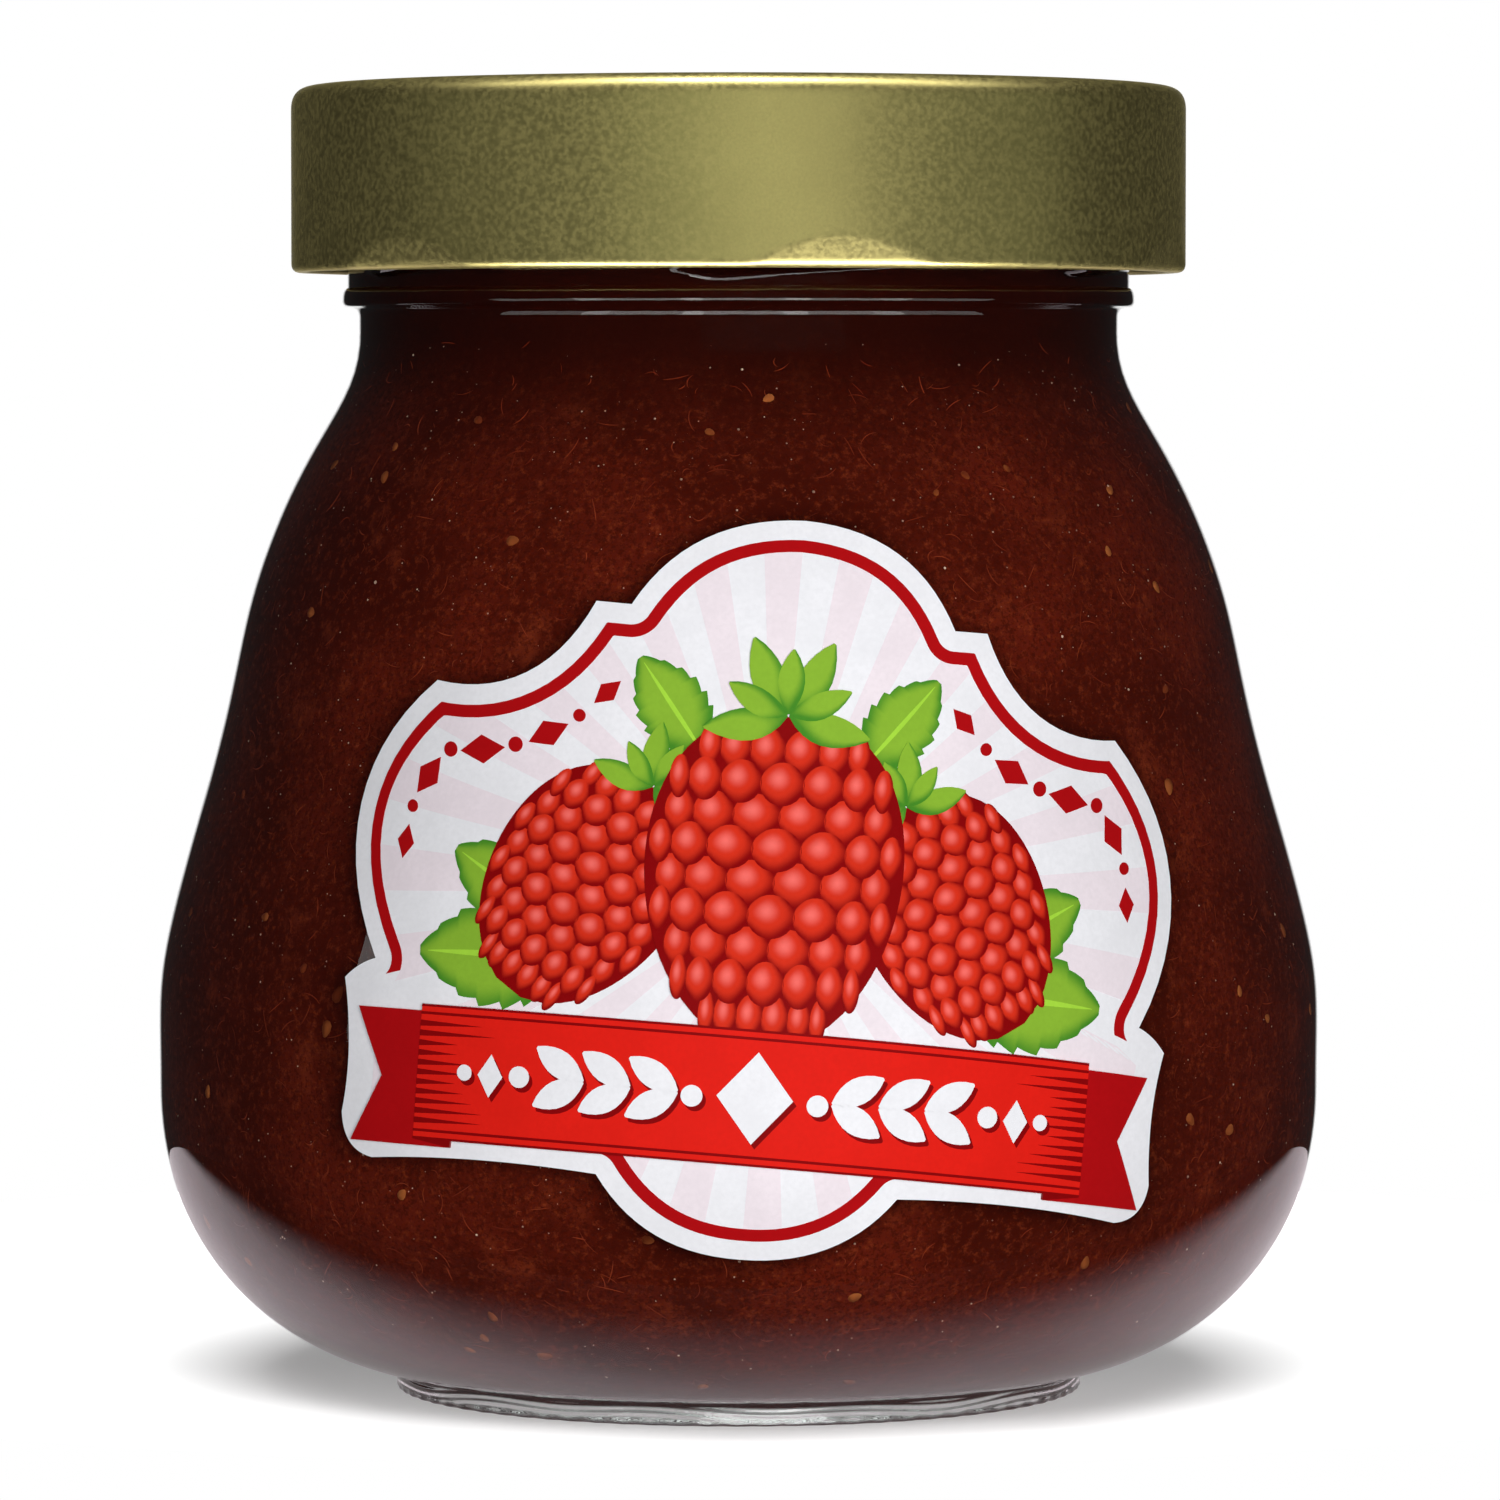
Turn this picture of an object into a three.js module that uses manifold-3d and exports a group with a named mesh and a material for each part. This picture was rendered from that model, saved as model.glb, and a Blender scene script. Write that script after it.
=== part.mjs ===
// A pot-bellied glass jar of jam with a twist-off metal lid and a die-cut paper label.
// Millimetres, +Z up. The origin is the centre of the ring that the jar stands on; the label faces -Y.
// Angles round the jar count from the front, -Y, towards +X.

import * as THREE from 'three';
import { mergeVertices } from 'three/addons/utils/BufferGeometryUtils.js';
import Module from 'manifold-3d';

const wasm = await Module();
wasm.setup();

// Whole jar
const TOTAL_HEIGHT = 102;
const GLASS_WALL = 2.5;
const CLEARANCE = 0.3;
const SEGMENTS = 48;
const CURVE_STEPS = 2;
const SAME_PLACE = 1e-4;

// Outer side of the glass, from the foot up: a point, how far the side leans in there (degrees from
// upright), and how far the curves below and above it keep to that direction
const HEEL = { radius: 28.9, height: 2.1, lean: -76.4, above: 8.65 };
const BELLY = { radius: 45.4, height: 23.9, lean: 0, below: 12.25, above: 8.7 };
const SIDE = { radius: 41.95, height: 46.35, lean: 16.3, below: 14.7, above: 11.3 };
const SHOULDER = { radius: 36.75, height: 66.4, lean: 20.7, below: 7.5, above: 10.2 };
const NECK = { radius: 29.7, height: 82.9, lean: 0, below: 5.5 };
const STATIONS = [HEEL, BELLY, SIDE, SHOULDER, NECK];
const OUTER_STEPS = 25;
const INNER_STEPS = 15;

// Foot: a standing ring round a shallow hollow
const RING_INNER = 24.3;
const RING_OUTER = 26.1;
const RING_EDGE = 0.8;
const HOLLOW_RADIUS = 22.4;
const HOLLOW_HEIGHT = 1.6;
const HOLLOW_CROWN = 2.2;
const INNER_FLOOR = 5;

// Finish: the bead over the neck, the threaded band and the sealing rim
const NECK_RISE = 1.1;
const BEAD = { radius: 31, height: 85.3, round: 0.5 };
const WAIST = { radius: 30.75, height: 86.3 };
const BAND_RADIUS = 30.9;
const BAND_START = 87;
const MOUTH_RADIUS = 27.4;
const RIM_TOP = 100.4;
const RIM_EDGE = 0.9;

// Threads of the glass
const THREAD_COUNT = 6;
const FIRST_THREAD = -10;
const THREAD_SWEEP = 64;
const THREAD_LEAD = 11.5;
const THREAD_START = 87.6;
const THREAD_HALF_WIDTH = 1.1;
const THREAD_DEPTH = 1.1;
const THREAD_TIP = 4;
const THREAD_SIDES = 8;
const THREAD_STEPS = 9;

// Jam
const JAM_LEVEL = 96;

// Lid
const LID_RADIUS = 35;
const LID_BOTTOM = 87.5;
const LID_CORNER = 1.8;
const LID_SHEET = 0.6;
const PANEL_RADIUS = 26.4;
const PANEL_DROP = 0.9;
const BUTTON_RADIUS = 11;
const BUTTON_DROP = 0.35;
const CURL_DEPTH = 1.4;
const CURL_HEIGHT = 1.2;
const LUG_COUNT = 6;
const FIRST_LUG = 13;
const LUG_DEPTH = 0.9;
const LUG_HALF_ANGLE = 12;
const LUG_HEIGHT = 2.4;

// Label: where its centre lies round the jar and up the side's curve, and its turn to the right
const LABEL_ACROSS = 2.6;
const LABEL_UP_SIDE = 47.8;
const LABEL_TILT = 5;
const LABEL_GAP = 0.25;
const LABEL_THICKNESS = 0.15;
const LABEL_RINGS = 7;
const OUTLINE_STEPS = 4;

// Right half of the label's outline from the top down, measured from its centre. Each point is reached
// from the one before by a curve that bows outwards by bow, or inwards where that is negative
const OUTLINE_TOP = { across: 0, height: 27.9 };
const LEDGE_INNER = { across: 12.3, height: 20.3, bow: 2.1 };
const LEDGE_OUTER = { across: 15, height: 20.3, bow: 0 };
const SHOULDER_CORNER = { across: 27.6, height: 13, bow: -2.6 };
const RIBBON_NOTCH = { across: 30.8, height: -8.6, bow: 4.7 };
const RIBBON_TOP = { across: 33.6, height: -10.4, bow: 0.2 };
const RIBBON_SIDE = { across: 33, height: -20.4, bow: -0.6 };
const RIBBON_CORNER = { across: 29.8, height: -23.4, bow: 0.9 };
const LOWER_LOBE = { across: 11.2, height: -22.3, bow: -0.5 };
const OUTLINE_FOOT = { across: 0, height: -27.9, bow: 1.6 };
const HALF_OUTLINE = [
  OUTLINE_TOP, LEDGE_INNER, LEDGE_OUTER, SHOULDER_CORNER, RIBBON_NOTCH,
  RIBBON_TOP, RIBBON_SIDE, RIBBON_CORNER, LOWER_LOBE, OUTLINE_FOOT,
];

const radians = THREE.MathUtils.degToRad;

function material(color, roughness, metalness = 0) {
  return new THREE.MeshStandardMaterial({ color, roughness, metalness });
}

function positionsOnly(geometry) {
  geometry.deleteAttribute('normal');
  geometry.deleteAttribute('uv');
  return mergeVertices(geometry, SAME_PLACE);
}

// Volume that the triangles shut in: negative where they face inwards
function signedVolume(points, triangles) {
  const corners = [new THREE.Vector3(), new THREE.Vector3(), new THREE.Vector3()];
  let volume = 0;
  for (let i = 0; i < triangles.length; i += 3) {
    corners.forEach((corner, k) => corner.fromArray(points, 3 * triangles[i + k]));
    volume += corners[0].dot(corners[1].cross(corners[2])) / 6;
  }
  return volume;
}

// One closed body with shared vertices, no triangles without area, and faces outwards
function closedBody(geometry) {
  const merged = positionsOnly(geometry);
  const points = merged.attributes.position.array;
  const source = merged.index.array;
  const kept = [];
  for (let i = 0; i < source.length; i += 3) {
    const [a, b, c] = [source[i], source[i + 1], source[i + 2]];
    if (a !== b && b !== c && c !== a) {
      kept.push(a, b, c);
    }
  }
  if (signedVolume(points, kept) < 0) {
    kept.reverse();
  }
  merged.setIndex(kept);
  return merged;
}

function toManifold(geometry) {
  const mesh = new wasm.Mesh({
    numProp: 3,
    vertProperties: new Float32Array(geometry.attributes.position.array),
    triVerts: new Uint32Array(geometry.index.array),
  });
  return new wasm.Manifold(mesh);
}

function fromManifold(solid) {
  const mesh = solid.getMesh();
  const geometry = new THREE.BufferGeometry();
  geometry.setAttribute('position', new THREE.BufferAttribute(mesh.vertProperties, mesh.numProp));
  geometry.setIndex(new THREE.BufferAttribute(mesh.triVerts, 1));
  return geometry;
}

// A profile of (radius, height) turned round the jar's axis, with a column of vertices at startAngle
function turned(profile, startAngle = 0) {
  const lathe = new THREE.LatheGeometry(profile, SEGMENTS, radians(startAngle));
  lathe.rotateX(Math.PI / 2);
  return closedBody(lathe);
}

function onJar(radius, angle, height) {
  return new THREE.Vector3(radius * Math.sin(angle), -radius * Math.cos(angle), height);
}

function outerWall() {
  const upright = new THREE.Vector2(0, 1);
  const centre = new THREE.Vector2();
  const direction = (station) => upright.clone().rotateAround(centre, radians(station.lean));
  const place = (station) => new THREE.Vector2(station.radius, station.height);
  const wall = new THREE.Path();
  wall.moveTo(HEEL.radius, HEEL.height);
  for (let i = 1; i < STATIONS.length; i += 1) {
    const [from, to] = [STATIONS[i - 1], STATIONS[i]];
    const leave = place(from).addScaledVector(direction(from), from.above);
    const arrive = place(to).addScaledVector(direction(to), -to.below);
    wall.bezierCurveTo(leave.x, leave.y, arrive.x, arrive.y, to.radius, to.height);
  }
  return wall;
}

const WALL = outerWall();

// Point of the side a share of the way up its curve, moved out from the glass by offset
function wallPoint(share, offset = 0) {
  const tangent = WALL.getTangent(share);
  const outwards = new THREE.Vector2(tangent.y, -tangent.x);
  return WALL.getPoint(share).addScaledVector(outwards, offset);
}

function wallPoints(steps, offset) {
  return Array.from({ length: steps + 1 }, (_, i) => wallPoint(i / steps, offset));
}

function footProfile() {
  const foot = new THREE.Path();
  foot.moveTo(0, HOLLOW_CROWN);
  foot.quadraticCurveTo(HOLLOW_RADIUS / 2, HOLLOW_CROWN, HOLLOW_RADIUS, HOLLOW_HEIGHT);
  foot.quadraticCurveTo(RING_INNER - RING_EDGE, HOLLOW_HEIGHT, RING_INNER, 0);
  foot.lineTo(RING_OUTER, 0);
  foot.quadraticCurveTo(RING_OUTER + RING_EDGE, 0, RING_OUTER + RING_EDGE, RING_EDGE);
  return foot.getPoints(CURVE_STEPS);
}

function finishProfile() {
  const finish = new THREE.Path();
  const beadFoot = BEAD.height - BEAD.round;
  finish.moveTo(NECK.radius, NECK.height + NECK_RISE);
  finish.quadraticCurveTo(NECK.radius, beadFoot, BEAD.radius - BEAD.round, beadFoot);
  finish.quadraticCurveTo(BEAD.radius, beadFoot, BEAD.radius, BEAD.height);
  finish.quadraticCurveTo(BEAD.radius, WAIST.height, WAIST.radius, WAIST.height);
  finish.lineTo(BAND_RADIUS, BAND_START);
  finish.lineTo(BAND_RADIUS, RIM_TOP - RIM_EDGE);
  finish.quadraticCurveTo(BAND_RADIUS, RIM_TOP, BAND_RADIUS - RIM_EDGE, RIM_TOP);
  finish.lineTo(MOUTH_RADIUS + RIM_EDGE, RIM_TOP);
  finish.quadraticCurveTo(MOUTH_RADIUS, RIM_TOP, MOUTH_RADIUS, RIM_TOP - RIM_EDGE);
  finish.lineTo(MOUTH_RADIUS, BAND_START);
  return finish.getPoints(CURVE_STEPS);
}

// A rod with long tapering tips, bent round the threaded band along the rising thread
function thread(startAngle) {
  const length = radians(THREAD_SWEEP) * BAND_RADIUS;
  const shaft = length - 2 * THREAD_TIP;
  const rod = new THREE.CapsuleGeometry(1, shaft, CURVE_STEPS, THREAD_SIDES, THREAD_STEPS);
  const slope = THREAD_LEAD / (2 * Math.PI * BAND_RADIUS);
  const straight = shaft / 2;
  const vertices = rod.attributes.position;
  for (let i = 0; i < vertices.count; i += 1) {
    const along = vertices.getY(i);
    const intoTip = Math.max(0, Math.abs(along) - straight);
    const stretched = Math.sign(along) * (Math.min(Math.abs(along), straight) + THREAD_TIP * intoTip);
    const travel = stretched + length / 2;
    const angle = radians(startAngle) + travel / BAND_RADIUS;
    const height = THREAD_START + slope * travel + THREAD_HALF_WIDTH * vertices.getZ(i);
    const point = onJar(BAND_RADIUS + THREAD_DEPTH * vertices.getX(i), angle, height);
    vertices.setXYZ(i, point.x, point.y, point.z);
  }
  return closedBody(rod);
}

function glassJar() {
  const inside = wallPoints(INNER_STEPS, -GLASS_WALL).reverse();
  const floorCentre = new THREE.Vector2(0, INNER_FLOOR);
  const outside = [...footProfile(), ...wallPoints(OUTER_STEPS, 0), ...finishProfile()];
  const profile = [...outside, ...inside, floorCentre];
  let jar = toManifold(turned(profile));
  for (let i = 0; i < THREAD_COUNT; i += 1) {
    jar = jar.add(toManifold(thread(FIRST_THREAD + (360 / THREAD_COUNT) * i)));
  }
  return fromManifold(jar);
}

function jam() {
  const side = wallPoints(INNER_STEPS, -GLASS_WALL - CLEARANCE);
  const radius = MOUTH_RADIUS - CLEARANCE;
  const profile = [
    new THREE.Vector2(0, INNER_FLOOR + CLEARANCE),
    ...side,
    new THREE.Vector2(radius, BAND_START),
    new THREE.Vector2(radius, JAM_LEVEL),
    new THREE.Vector2(0, JAM_LEVEL),
  ];
  return turned(profile);
}

function lidProfile() {
  const top = TOTAL_HEIGHT;
  const panelTop = top - PANEL_DROP;
  const rampTop = PANEL_RADIUS + PANEL_DROP;
  const seat = RIM_TOP + CLEARANCE;
  const panelUnder = panelTop - LID_SHEET;
  const skirtInner = LID_RADIUS - LID_SHEET;
  const curlInner = LID_RADIUS - CURL_DEPTH;
  const curlRound = CURL_DEPTH / 2;
  const lid = new THREE.Path();
  lid.moveTo(0, panelTop - BUTTON_DROP);
  lid.quadraticCurveTo(BUTTON_RADIUS / 2, panelTop - BUTTON_DROP, BUTTON_RADIUS, panelTop);
  lid.lineTo(PANEL_RADIUS, panelTop);
  lid.lineTo(rampTop, top);
  lid.lineTo(LID_RADIUS - LID_CORNER, top);
  lid.quadraticCurveTo(LID_RADIUS, top, LID_RADIUS, top - LID_CORNER);
  lid.lineTo(LID_RADIUS, LID_BOTTOM + LUG_HEIGHT);
  lid.lineTo(LID_RADIUS, LID_BOTTOM + curlRound);
  lid.quadraticCurveTo(LID_RADIUS, LID_BOTTOM, LID_RADIUS - curlRound, LID_BOTTOM);
  lid.quadraticCurveTo(curlInner, LID_BOTTOM, curlInner, LID_BOTTOM + curlRound);
  lid.quadraticCurveTo(curlInner, LID_BOTTOM + CURL_HEIGHT, skirtInner, LID_BOTTOM + LUG_HEIGHT);
  lid.lineTo(skirtInner, top - LID_CORNER);
  lid.lineTo(LID_RADIUS - LID_CORNER, top - LID_SHEET);
  lid.lineTo(BAND_RADIUS, seat);
  lid.lineTo(PANEL_RADIUS + LID_SHEET, seat);
  lid.lineTo(PANEL_RADIUS, panelUnder);
  lid.lineTo(BUTTON_RADIUS, panelUnder);
  lid.lineTo(0, panelUnder - BUTTON_DROP);
  return lid.getPoints(CURVE_STEPS);
}

// Smooth hump: 1 at the middle, 0 from a distance of 1 outwards
function hump(distance) {
  const share = Math.min(1, Math.abs(distance));
  return (1 - share * share) ** 2;
}

function lid() {
  const shell = turned(lidProfile(), FIRST_LUG);
  const pitch = 360 / LUG_COUNT;
  const vertices = shell.attributes.position;
  for (let i = 0; i < vertices.count; i += 1) {
    const point = new THREE.Vector3().fromBufferAttribute(vertices, i);
    const angle = THREE.MathUtils.radToDeg(Math.atan2(point.x, -point.y)) - FIRST_LUG;
    const fromLug = angle - pitch * Math.round(angle / pitch);
    const press = LUG_DEPTH * hump(fromLug / LUG_HALF_ANGLE) * hump((point.z - LID_BOTTOM) / LUG_HEIGHT);
    const radius = Math.hypot(point.x, point.y);
    const share = radius > 0 ? 1 - press / radius : 1;
    vertices.setXYZ(i, point.x * share, point.y * share, point.z);
  }
  return shell;
}

function halfOutline() {
  const half = new THREE.Path();
  half.moveTo(OUTLINE_TOP.across, OUTLINE_TOP.height);
  for (let i = 1; i < HALF_OUTLINE.length; i += 1) {
    const from = new THREE.Vector2(HALF_OUTLINE[i - 1].across, HALF_OUTLINE[i - 1].height);
    const to = new THREE.Vector2(HALF_OUTLINE[i].across, HALF_OUTLINE[i].height);
    const along = to.clone().sub(from).normalize();
    const outwards = new THREE.Vector2(-along.y, along.x);
    const pull = from.clone().lerp(to, 0.5).addScaledVector(outwards, 2 * HALF_OUTLINE[i].bow);
    half.quadraticCurveTo(pull.x, pull.y, to.x, to.y);
  }
  return half.getPoints(OUTLINE_STEPS);
}

function labelOutline() {
  const right = halfOutline();
  const left = right.slice(1, -1).reverse().map((point) => new THREE.Vector2(-point.x, point.y));
  return [...right, ...left];
}

// Point of the label's own plane laid on the jar: its height becomes distance along the side's curve
function laidOnJar(point, offset) {
  const turnedPoint = point.clone().rotateAround(new THREE.Vector2(), -radians(LABEL_TILT));
  const share = (LABEL_UP_SIDE + turnedPoint.y) / WALL.getLength();
  const angle = (LABEL_ACROSS + turnedPoint.x) / wallPoint(share).x;
  const spot = wallPoint(share, offset);
  return onJar(spot.x, angle, spot.y);
}

// A curved sheet: rings of the outline's shape from the centre out, on its back and on its front
function label() {
  const outline = labelOutline();
  const count = outline.length;
  const faceSize = 1 + LABEL_RINGS * count;
  const vertices = [];
  for (const offset of [LABEL_GAP, LABEL_GAP + LABEL_THICKNESS]) {
    vertices.push(laidOnJar(new THREE.Vector2(), offset));
    for (let ring = 1; ring <= LABEL_RINGS; ring += 1) {
      outline.forEach((point) => {
        vertices.push(laidOnJar(point.clone().multiplyScalar(ring / LABEL_RINGS), offset));
      });
    }
  }
  const at = (face, ring, i) => face * faceSize + (ring === 0 ? 0 : 1 + (ring - 1) * count + (i % count));
  const triangles = [];
  for (let i = 0; i < count; i += 1) {
    for (let ring = 0; ring < LABEL_RINGS; ring += 1) {
      for (const face of [0, 1]) {
        const [a, b] = face === 0 ? [i, i + 1] : [i + 1, i];
        triangles.push(at(face, ring, a), at(face, ring + 1, a), at(face, ring + 1, b));
        if (ring > 0) {
          triangles.push(at(face, ring, a), at(face, ring + 1, b), at(face, ring, b));
        }
      }
    }
    triangles.push(at(0, LABEL_RINGS, i), at(1, LABEL_RINGS, i), at(1, LABEL_RINGS, i + 1));
    triangles.push(at(0, LABEL_RINGS, i), at(1, LABEL_RINGS, i + 1), at(0, LABEL_RINGS, i + 1));
  }
  const sheet = new THREE.BufferGeometry().setFromPoints(vertices);
  sheet.setIndex(triangles);
  return closedBody(sheet);
}

const group = new THREE.Group();

function addPiece(name, geometry, look) {
  const piece = new THREE.Mesh(geometry, look);
  piece.name = name;
  group.add(piece);
}

addPiece('glass_jar', glassJar(), material(0xdfe6e2, 0.05));
addPiece('jam', jam(), material(0x4a120a, 0.35));
addPiece('lid', lid(), material(0x8f8450, 0.38, 0.8));
addPiece('label', label(), material(0xeeeef1, 0.6));

export default group;
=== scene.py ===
"""A pot-bellied glass jar of fruit jam with a gold twist-off lid and a printed paper label.

Lengths are in metres. Angles round the jar count from the front, -Y, towards +X.
"""

import math
from collections import namedtuple

import bpy
import numpy as np
from bpy.props import FloatProperty, FloatVectorProperty, IntProperty, PointerProperty
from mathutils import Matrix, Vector


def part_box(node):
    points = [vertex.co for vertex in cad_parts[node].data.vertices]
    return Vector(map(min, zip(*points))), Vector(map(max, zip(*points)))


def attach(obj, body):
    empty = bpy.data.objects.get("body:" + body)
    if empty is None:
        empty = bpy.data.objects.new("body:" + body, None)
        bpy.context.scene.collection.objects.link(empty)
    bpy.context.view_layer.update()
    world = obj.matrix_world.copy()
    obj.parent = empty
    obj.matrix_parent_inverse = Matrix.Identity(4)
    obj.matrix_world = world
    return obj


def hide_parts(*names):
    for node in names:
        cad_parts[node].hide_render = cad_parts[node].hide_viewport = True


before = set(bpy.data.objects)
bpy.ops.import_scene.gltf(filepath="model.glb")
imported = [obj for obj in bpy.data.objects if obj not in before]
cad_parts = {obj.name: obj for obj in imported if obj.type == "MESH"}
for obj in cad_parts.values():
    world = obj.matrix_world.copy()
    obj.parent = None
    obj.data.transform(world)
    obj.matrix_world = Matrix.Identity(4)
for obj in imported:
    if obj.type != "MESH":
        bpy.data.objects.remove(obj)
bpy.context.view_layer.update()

bl_info = {
    "name": "Jam jar",
    "version": (1, 0, 0),
    "blender": (4, 5, 0),
    "location": "View3D > Sidebar > Jam jar",
    "description": "Builds a glass jar of fruit jam with a gold lid and a printed label",
    "category": "Add Mesh",
}

MM = 0.001
JAR_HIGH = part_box("glass_jar")[1]
JAM_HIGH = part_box("jam")[1]
LID_LOW, LID_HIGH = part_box("lid")
FULL_TURN = 2 * math.pi
BODY = "root"

# Outer side of the glass from the foot up: how far it leans in at each station, in degrees from upright,
# and how far the curves below and above keep to that direction
Station = namedtuple("Station", "radius height lean below above")
STATIONS = (
    Station(28.9 * MM, 2.1 * MM, -76.4, 0, 8.65 * MM),
    Station(45.4 * MM, 23.9 * MM, 0, 12.25 * MM, 8.7 * MM),
    Station(41.95 * MM, 46.35 * MM, 16.3, 14.7 * MM, 11.3 * MM),
    Station(36.75 * MM, 66.4 * MM, 20.7, 7.5 * MM, 10.2 * MM),
    Station(29.7 * MM, 82.9 * MM, 0, 5.5 * MM, 0),
)
HEEL = STATIONS[0]
NECK = STATIONS[-1]

# Foot and finish of the glass
RING_INNER = 24.3 * MM
RING_OUTER = 26.1 * MM
RING_EDGE = 0.8 * MM
HOLLOW_RADIUS = 23.5 * MM
HOLLOW_HEIGHT = 1.6 * MM
HOLLOW_CROWN = 2.2 * MM
FOOT_TOP = 1.6 * MM
INNER_FLOOR = 5 * MM
NECK_RISE = 1.1 * MM
BEAD_RADIUS = 31 * MM
BEAD_HEIGHT = 85.3 * MM
BEAD_ROUND = 0.5 * MM
WAIST_HEIGHT = 86.3 * MM
BAND_RADIUS = 30.6 * MM
BAND_START = 87 * MM
BAND_SHOWN = 91 * MM
MOUTH_RADIUS = 27.4 * MM
RIM_TOP = JAR_HIGH.z
RIM_EDGE = 0.9 * MM
SEAM_HEIGHT = 82.5 * MM
SEAM_HALF_HEIGHT = 0.25 * MM
RIPPLE_MIDDLE = 1 * MM
RIPPLE_PITCH = 0.5 * MM

# Threads of the glass
THREAD_COUNT = 6
FIRST_THREAD = math.radians(-10)
THREAD_SWEEP = math.radians(64)
THREAD_LEAD = 11.5 * MM
THREAD_START = 87.6 * MM
THREAD_TIP = math.radians(8)

# Heights between which painted shade darkens the jam towards the neck, standing in for the lid's shade
NECK_SHADE_FOOT = 70 * MM
NECK_SHADE_TOP = 83 * MM

# Top of the jam: how far its middle lies under its edge, and how wide the rise to the glass is
JAM_DIP = 0.8 * MM
JAM_RISE_WIDTH = 3 * MM

# Lid
LID_RADIUS = LID_HIGH.x
LID_CORNER = 1.8 * MM
LID_SHEET = 0.6 * MM
PANEL_RADIUS = 26.4 * MM
PANEL_DROP = 0.9 * MM
BUTTON_RADIUS = 11 * MM
BUTTON_DROP = 0.35 * MM
CURL_DEPTH = 1.4 * MM
LUG_COUNT = 6
FIRST_LUG = math.radians(13)
LUG_HALF_ANGLE = math.radians(12)
LUG_HEIGHT = 2.4 * MM
LUG_ROUNDING = 0.004
LID_SEAT = 0.3 * MM
BUTTON_SLOPE = 2 * MM

# Right half of the label's outline from the top down, measured from its centre: each point is reached by a
# curve that bows outwards by bow
Corner = namedtuple("Corner", "across height bow")
HALF_OUTLINE = (
    Corner(0, 27.9 * MM, 0),
    Corner(12.3 * MM, 20.3 * MM, 2.1 * MM),
    Corner(15 * MM, 20.3 * MM, 0),
    Corner(27.6 * MM, 13 * MM, -2.6 * MM),
    Corner(30.8 * MM, -8.6 * MM, 4.7 * MM),
    Corner(33.6 * MM, -10.4 * MM, 0.2 * MM),
    Corner(33 * MM, -20.4 * MM, -0.6 * MM),
    Corner(29.8 * MM, -23.4 * MM, 0.9 * MM),
    Corner(11.2 * MM, -22.3 * MM, -0.5 * MM),
    Corner(0, -27.9 * MM, 1.6 * MM),
)

# Layers of the label over the glass: the print lies on the paper in thin steps, each over those before it
PAPER_FOOT = 0.02 * MM
PAPER_FACE = 0.12 * MM
INK_STEP = 0.015 * MM
RAY_LAYER = 1
LINE_LAYER = 2
LEAF_LAYER = 2
SIDE_BERRY_LAYER = 4
BERRY_LAYER = 9
RIBBON_LAYER = 14
BORDER = 1.55 * MM
KEYLINE_WIDTH = 0.95 * MM

# Ribbon of the label
RIBBON_MIDDLE = -15.6 * MM
RIBBON_HALF_HEIGHT = 5 * MM
RIBBON_HALF_WIDTH = 26 * MM
RIBBON_FALL = 0.8 * MM
TAIL_END = 31.8 * MM
TAIL_TUCK = 3.2 * MM
TAIL_DROP = 0.5 * MM
TAIL_NOTCH = 2.6 * MM


def length_property(name, description, default):
    """A length that a user may change."""
    return FloatProperty(name=name, description=description, default=default, unit="LENGTH", precision=5)


def colour_property(name, description, default):
    """A colour that a user may change, as linear red, green and blue."""
    return FloatVectorProperty(
        name=name, description=description, default=default, subtype="COLOR", size=3, min=0, max=1
    )


class GlassSettings(bpy.types.PropertyGroup):
    """Sizes and tint of the glass."""

    wall: length_property("Wall", "Thickness of the glass", 2.5 * MM)
    thread_depth: length_property("Thread depth", "How far a thread stands out", 1.1 * MM)
    thread_half_width: length_property("Thread half width", "Half the height of a thread's ridge", 1.1 * MM)
    knurl_depth: length_property("Knurl depth", "Depth of the notches on the foot ring", 0.22 * MM)
    ripple_depth: length_property("Ripple depth", "Depth of the ripples round the foot", 0.03 * MM)
    knurl_count: IntProperty(name="Knurls", description="Notches round the foot ring", default=75, min=3)
    seam: length_property("Seam", "How far the mould's parting line stands out", 0.012 * MM)
    tint: colour_property("Tint", "Colour of light through the glass", (0.94, 0.97, 0.955))


class JamSettings(bpy.types.PropertyGroup):
    """Colours of the jam and how much is sunk in it."""

    reach: length_property("Reach", "How far the jam reaches into the glass wall", 0.04 * MM)
    deep: colour_property("Deep", "Darkest colour of the jam", (0.0275, 0.0023, 0.0008))
    bright: colour_property("Bright", "Lightest colour of the jam", (0.063, 0.0058, 0.0022))
    # Shade is painted shade: the colour the jam is darkened to in the neck, standing in for the lid's shade
    shade: colour_property("Shade", "Colour in the neck", (0.008, 0.0009, 0.0004))
    fruit: colour_property("Fruit", "Colour of soft fruit flesh", (0.14, 0.021, 0.007))
    seed_colour: colour_property("Seed", "Colour of the seeds", (0.21, 0.062, 0.016))
    speck_colour: colour_property("Speck", "Colour of the small bubbles", (0.42, 0.29, 0.22))
    seeds: IntProperty(name="Seeds", description="Seeds that show at the glass", default=150, min=1)
    shreds: IntProperty(name="Shreds", description="Fibres that show at the glass", default=2200, min=1)
    specks: IntProperty(name="Specks", description="Small bubbles at the glass", default=3600, min=1)


class LidSettings(bpy.types.PropertyGroup):
    """Press depth and finish of the lid."""

    lug_depth: length_property("Lug depth", "How far a lug is pressed in", 0.65 * MM)
    lacquer: colour_property("Lacquer", "Colour of the gold lacquer", (0.62, 0.53, 0.2))
    roughness: FloatProperty(
        name="Roughness", description="How satin the lacquer is", default=0.4, min=0, max=1, subtype="FACTOR"
    )


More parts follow.
